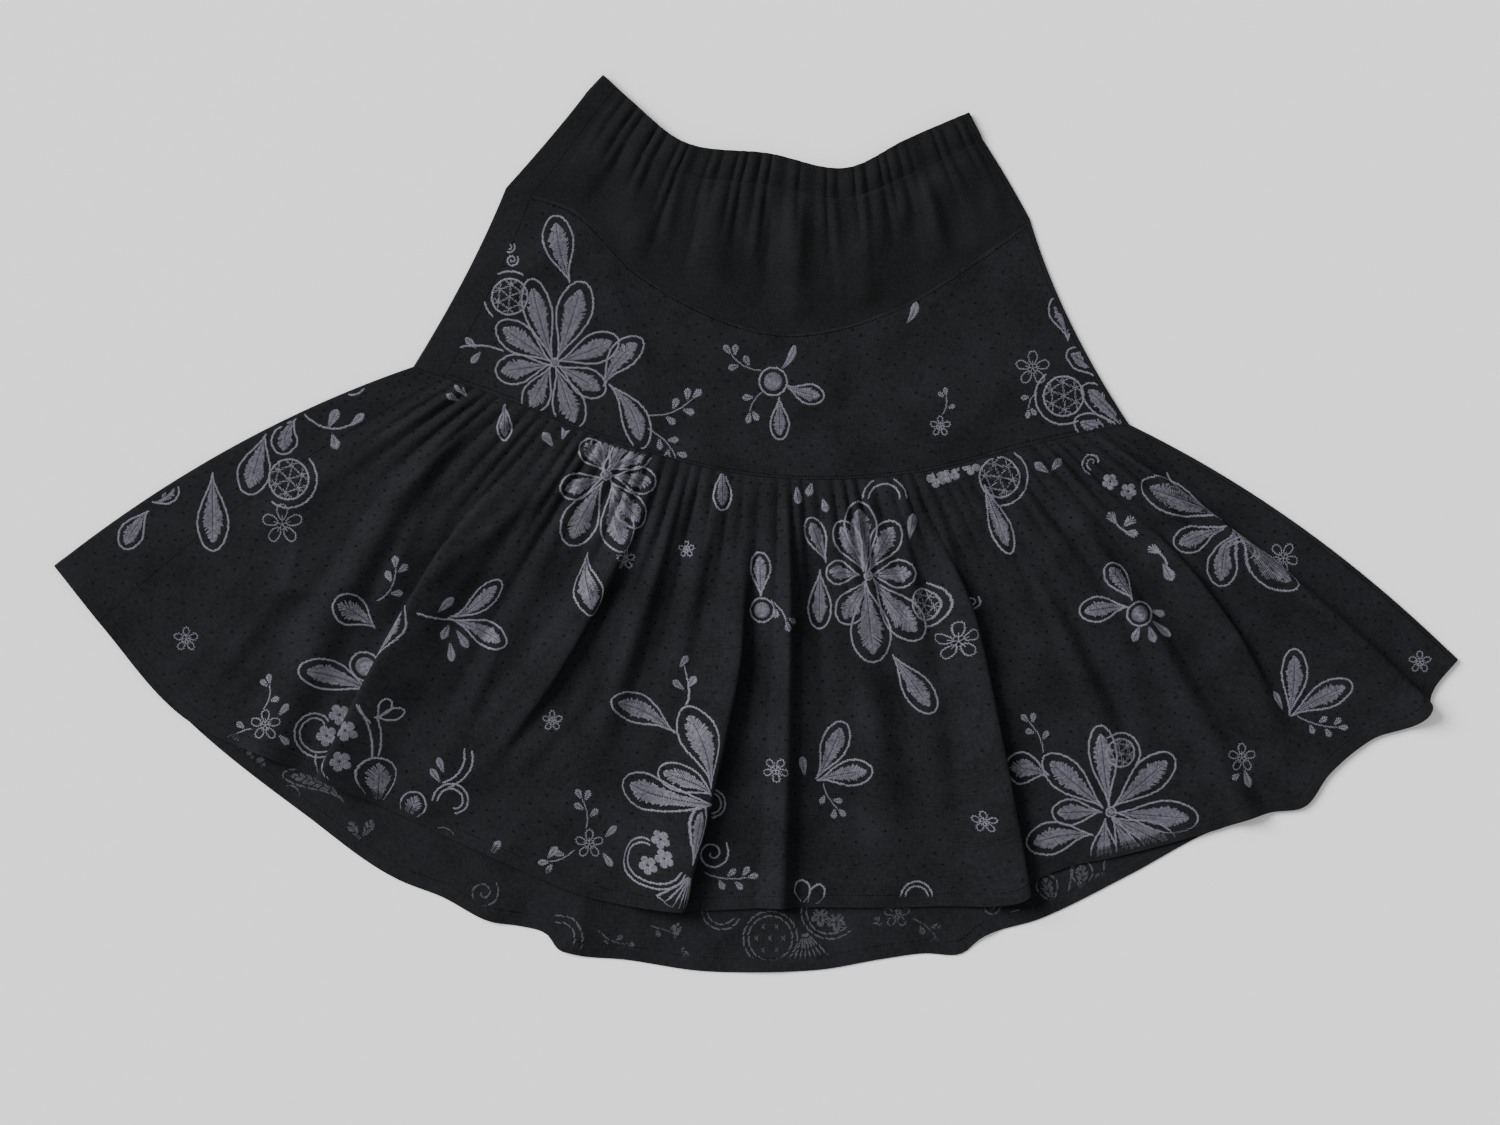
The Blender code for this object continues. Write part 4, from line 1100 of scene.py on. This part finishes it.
def stitch_line(name, tier_name, side, level):
    """A row of short stitches on the upper face at one level, from one side seam to the other."""
    tier = TIERS[tier_name]
    count = int(row_length(tier, side, level) / SEWING_STEP)
    share = np.linspace(*SEWING_SPAN, count)
    level = np.full(count, level)
    half = 0.5 * SEWING_LENGTH / row_length(tier, side, level)
    start = plan_point(tier, side, share - half, level)
    end = plan_point(tier, side, share + half, level)
    unmoved = np.tile([0.0, 1.0], (count, 1))
    return sewn_mesh(name, tier_name, side, np.stack([start, end], axis=1), np.full(count, SEWING_WIDTH),
                     np.full(count, SEWING_HEIGHT), share, level, unmoved, True, np.zeros(count), FRONT_SPAN)


def woven_dots(name, tier_name, side, area, span):
    """Staggered small raised dots of the weave on the flat cloth, each moved a little at random."""
    width, length = area
    columns, rows = int(width / DOT_STEP), int(2.0 * length / DOT_STEP)
    share, level = np.meshgrid((np.arange(columns) + 0.5) / columns, (np.arange(rows) + 0.5) / rows)
    share = share + 0.25 / columns * np.where(np.arange(rows) % 2 == 0, -1.0, 1.0)[:, None]
    share = (share + RANDOM.uniform(-DOT_STRAY, DOT_STRAY, share.shape) / columns).ravel()
    level = (level + RANDOM.uniform(-DOT_STRAY, DOT_STRAY, level.shape) / rows).ravel()
    middle = plan_point(TIERS[tier_name], side, share, level)
    half = np.array([0.5 * DOT_WIDTH, 0.0])
    ends = np.stack([middle - half, middle + half], axis=1)
    count = len(ends)
    stretch = motif_stretch(tier_name, side, share, level, np.full(count, 0.5 * DOT_WIDTH))
    move = np.stack([np.zeros(count), stretch], axis=1)
    return sewn_mesh(name, tier_name, side, ends, np.full(count, DOT_WIDTH), np.full(count, DOT_HEIGHT),
                     share, level, move, side == "front", np.zeros(count), span)


def camera_and_light():
    """Camera straight above the photograph's middle, a soft sun, a pale sky and a pale floor."""
    middle = from_photo(PHOTO_WIDTH / 2.0, PHOTO_HEIGHT / 2.0)
    lens = bpy.data.cameras.new("camera")
    lens.sensor_width = SENSOR_WIDTH
    lens.sensor_fit = "HORIZONTAL"
    lens.lens = SENSOR_WIDTH * CAMERA_HEIGHT / (PHOTO_WIDTH * METRES_PER_PIXEL)
    camera = new_object("camera", lens)
    camera.location = (middle[0], middle[1], CAMERA_HEIGHT)
    bpy.context.scene.camera = camera
    key = bpy.data.lights.new("key", "SUN")
    key.energy = KEY_STRENGTH
    key.angle = np.radians(KEY_SOFTNESS)
    lamp = new_object("key", key)
    lamp.rotation_euler = (np.radians(90.0 - KEY_ELEVATION), 0.0, np.radians(KEY_AZIMUTH))
    world = bpy.data.worlds.new("studio")
    world.use_nodes = True
    sky = world.node_tree.nodes["Background"]
    sky.inputs["Color"].default_value = (1.0, 1.0, 1.0, 1.0)
    sky.inputs["Strength"].default_value = SKY_STRENGTH
    bpy.context.scene.world = world
    bpy.ops.mesh.primitive_plane_add(size=FLOOR_SIZE, location=(0.0, 0.0, -FLOOR_DROP))
    floor = bpy.context.object
    floor.name = "floor"
    pale = bpy.data.materials.new("floor")
    pale.use_nodes = True
    surface = pale.node_tree.nodes["Principled BSDF"]
    surface.inputs["Base Color"].default_value = (FLOOR_SHADE, FLOOR_SHADE, FLOOR_SHADE, 1.0)
    surface.inputs["Roughness"].default_value = FLOOR_ROUGHNESS
    floor.data.materials.append(pale)


class Wire:
    """A socket of one material's nodes; arithmetic on it adds Math nodes."""

    def __init__(self, shader, socket):
        self.shader = shader
        self.socket = socket

    def math(self, operation, first, second):
        """The result of one Math node on two wires or numbers."""
        return self.shader.node("Math", {"operation": operation}, {0: first, 1: second})

    def __add__(self, other):
        return self.math("ADD", self, other)

    def __sub__(self, other):
        return self.math("SUBTRACT", self, other)

    def __rsub__(self, other):
        return self.math("SUBTRACT", other, self)

    def __mul__(self, other):
        return self.math("MULTIPLY", self, other)

    __radd__ = __add__
    __rmul__ = __mul__


class Shader:
    """The nodes of one material."""

    def __init__(self, name, roughness, gloss):
        self.material = bpy.data.materials.new(name)
        self.material.use_nodes = True
        self.tree = self.material.node_tree
        self.surface = self.tree.nodes["Principled BSDF"]
        self.surface.inputs["Roughness"].default_value = roughness
        self.surface.inputs["Specular IOR Level"].default_value = gloss

    def join(self, socket, value):
        """Link a wire to a socket, or set the socket to a value."""
        if isinstance(value, Wire):
            self.tree.links.new(value.socket, socket)
        else:
            socket.default_value = value

    def node(self, kind, settings, inputs, output=0):
        """A new node with these settings and inputs, as the wire of one of its outputs."""
        node = self.tree.nodes.new("ShaderNode" + kind)
        for name, value in settings.items():
            setattr(node, name, value)
        for name, value in inputs.items():
            self.join(node.inputs[name], value)
        return Wire(self, node.outputs[output])

    def mix(self, share, shades):
        """A colour at this share of the way from the first shade to the second."""
        first, second = shades
        return self.node("Mix", {"data_type": "RGBA"}, {0: share, 6: (*first, 1.0), 7: (*second, 1.0)}, 2)

    def noise(self, place, stretch, detail):
        """Soft noise about zero, whose grain has these counts to the metre."""
        stretched = self.node("Mapping", {}, {"Vector": place, "Scale": stretch})
        return self.node("TexNoise", {}, {"Vector": stretched, "Scale": 1.0, "Detail": detail}) - 0.5


def cloth_material(name, shades, grain):
    """Matt cotton: cloudy shade, short slubs both ways of the weave, and the same slubs as a faint relief."""
    shader = Shader(name, CLOTH_ROUGHNESS, CLOTH_GLOSS)
    place = shader.node("UVMap", {"uv_map": "cloth"}, {})
    cloud = shader.noise(place, (CLOUDS, CLOUDS, 1.0), 4.0)
    weft = shader.noise(place, (SLUB_SLIMNESS * grain, grain, 1.0), 2.0)
    warp = shader.noise(place, (grain, SLUB_SLIMNESS * grain, 1.0), 2.0)
    slub = weft + warp
    shade = shader.mix(cloud * CLOUD_CONTRAST + slub * SLUB_CONTRAST + 0.5, shades)
    shader.join(shader.surface.inputs["Base Color"], shade)
    bump = shader.node("Bump", {}, {"Height": slub, "Strength": SLUB_RELIEF, "Distance": SLUB_HEIGHT})
    shader.join(shader.surface.inputs["Normal"], bump)
    return shader.material


def thread_material(name, shades, roughness, gloss):
    """Spun thread: uneven in shade over a few stitches."""
    shader = Shader(name, roughness, gloss)
    place = shader.node("TexCoord", {}, {}, "Object")
    patch = shader.noise(place, (PATCHES, PATCHES, PATCHES), 2.0)
    shader.join(shader.surface.inputs["Base Color"], shader.mix(patch * PATCH_CONTRAST + 0.5, shades))
    return shader.material


def cut_of(points):
    """Width, length and area of the cloth that a surface shows, as it would lie flat."""
    across = np.linalg.norm(np.diff(points, axis=1), axis=2).sum(axis=1)
    down = np.linalg.norm(np.diff(points, axis=0), axis=2).sum(axis=0)
    sides = np.cross(points[1:, :-1] - points[:-1, :-1], points[:-1, 1:] - points[:-1, :-1])
    area = float(np.linalg.norm(sides, axis=2).sum())
    width, length = float(across.max()), float(np.median(down))
    return (width, length), min(area, width * length)


# Grid squares across the front and the back, rows of the grid, material and hold of each tier's cloth
Fineness = namedtuple("Fineness", "front back rows slot held")
FINENESS = {
    "casing": Fineness(300, 300, 13, "waist_casing", "gathered"),
    "yoke": Fineness(260, 180, 56, "yoke_cloth", "gathered"),
    "hip": Fineness(160, 120, 60, "dotted_cloth", "laid"),
    "flounce": Fineness(540, 260, 90, "dotted_cloth", "gathered"),
}


def sewn_pieces():
    """Stitches, embroidery and woven dots of each panel, by the solid that its cloth replaces."""
    pieces = {}
    pieces["casing_front"] = [stitch_line("casing_stitches", "casing", "front", CASING_STITCHES)]
    pieces["hip_front"] = [
        embroider("hip_front_embroidery", "hip", "front", HIP_MOTIFS,
                  facing_up=True, dashed=False, height=STITCH_HEIGHT, span=FRONT_SPAN),
        woven_dots("hip_front_dots", "hip", "front", HIP_DOT_AREA, FRONT_SPAN),
        stitch_line("yoke_seam_stitches", "hip", "front", YOKE_SEAM_STITCHES),
        stitch_line("flounce_seam_stitches", "hip", "front", FLOUNCE_SEAM_STITCHES)]
    pieces["hip_back"] = [
        embroider("hip_back_embroidery", "hip", "back", HIP_MOTIFS,
                  facing_up=False, dashed=False, height=FLAT_STITCH_HEIGHT, span=INSIDE_SPAN)]
    pieces["flounce_front"] = [
        embroider("flounce_front_embroidery", "flounce", "front", FLOUNCE_MOTIFS,
                  facing_up=True, dashed=False, height=STITCH_HEIGHT, span=FRONT_SPAN),
        woven_dots("flounce_front_dots", "flounce", "front", FLOUNCE_DOT_AREA, FRONT_SPAN),
        stitch_line("front_hem_stitches", "flounce", "front", HEM_STITCHES)]
    pieces["flounce_back"] = [
        embroider("flounce_wrap_embroidery", "flounce", "front", WRAP_MOTIFS,
                  facing_up=True, dashed=False, height=STITCH_HEIGHT, span=WRAP_SPAN),
        woven_dots("flounce_wrap_dots", "flounce", "front", FLOUNCE_DOT_AREA, WRAP_SPAN),
        embroider("back_inside_reverse", "flounce", "back", INSIDE_MOTIFS,
                  facing_up=True, dashed=True, height=REVERSE_STITCH_HEIGHT, span=INSIDE_SPAN),
        embroider("flounce_back_embroidery", "flounce", "back", FLOUNCE_MOTIFS,
                  facing_up=False, dashed=False, height=FLAT_STITCH_HEIGHT, span=INSIDE_SPAN),
        stitch_line("back_hem_stitches", "flounce", "back", HEM_STITCHES)]
    return pieces


def cloth_pieces(looks):
    """The front and back cloth of each tier."""
    for name, fine in FINENESS.items():
        tier = TIERS[name]
        levels = np.linspace(0.0, 1.0, fine.rows)
        highest = 0.0 if tier.top == "waist" else TRIM
        lowest = 1.0 if tier.bottom == "hem" else 1.0 - TRIM
        levels = np.clip(levels, highest, lowest)
        for side, grid, columns in (("back", back_grid, fine.back), ("front", front_grid, fine.front)):
            points, down, share, level = grid(name, columns, levels)
            flat, area = cut_of(points)
            cloth = np.stack([share * flat[0], level * flat[1]], axis=-1)
            thickness = THIN
            if name == "casing":
                thickness = THICK - (THICK - THIN) * ease(level, CASING_THINS, 1.0)
            if name == "flounce":
                thickness = THIN + HEM_THICKNESS * ease(level, HEM_START - HEM_SLOPE, HEM_START)
            piece = shell_mesh(f"{name}_{side}_cloth", points, down, thickness, cloth, side == "back")
            piece.data.materials.append(looks[fine.slot])
            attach(piece, "root")
            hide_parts(f"{name}_{side}")
            under = ["floor"] if side == "back" else [f"{name}_back_cloth"]


camera_and_light()
cloth_looks = {
    "waist_casing": cloth_material("plain_cotton_casing", PLAIN_SHADES, PLAIN_GRAIN),
    "yoke_cloth": cloth_material("plain_cotton", PLAIN_SHADES, PLAIN_GRAIN),
    "dotted_cloth": cloth_material("dotted_cotton", DOTTED_SHADES, DOTTED_GRAIN),
}
outline_look = thread_material("embroidery_outline", THREAD_SHADES, roughness=0.6, gloss=0.2)
satin_look = thread_material("embroidery_satin", SATIN_SHADES, roughness=0.5, gloss=0.2)
reverse_look = thread_material("embroidery_reverse", REVERSE_SHADES, roughness=0.7, gloss=0.2)
sewing_look = thread_material("sewing_thread", SEWING_SHADES, roughness=0.9, gloss=0.03)
dot_look = thread_material("woven_dot", DOT_SHADES, roughness=0.9, gloss=0.08)
# Materials of a sewn piece, by the last word of its name
sewn_looks = {"embroidery": [outline_look, satin_look], "reverse": [reverse_look, reverse_look],
              "dots": [dot_look], "stitches": [sewing_look]}
additions = sewn_pieces()
for piece in sum(additions.values(), []):
    for look in sewn_looks[piece.name.split("_")[-1]]:
        piece.data.materials.append(look)
cloth_pieces(cloth_looks)
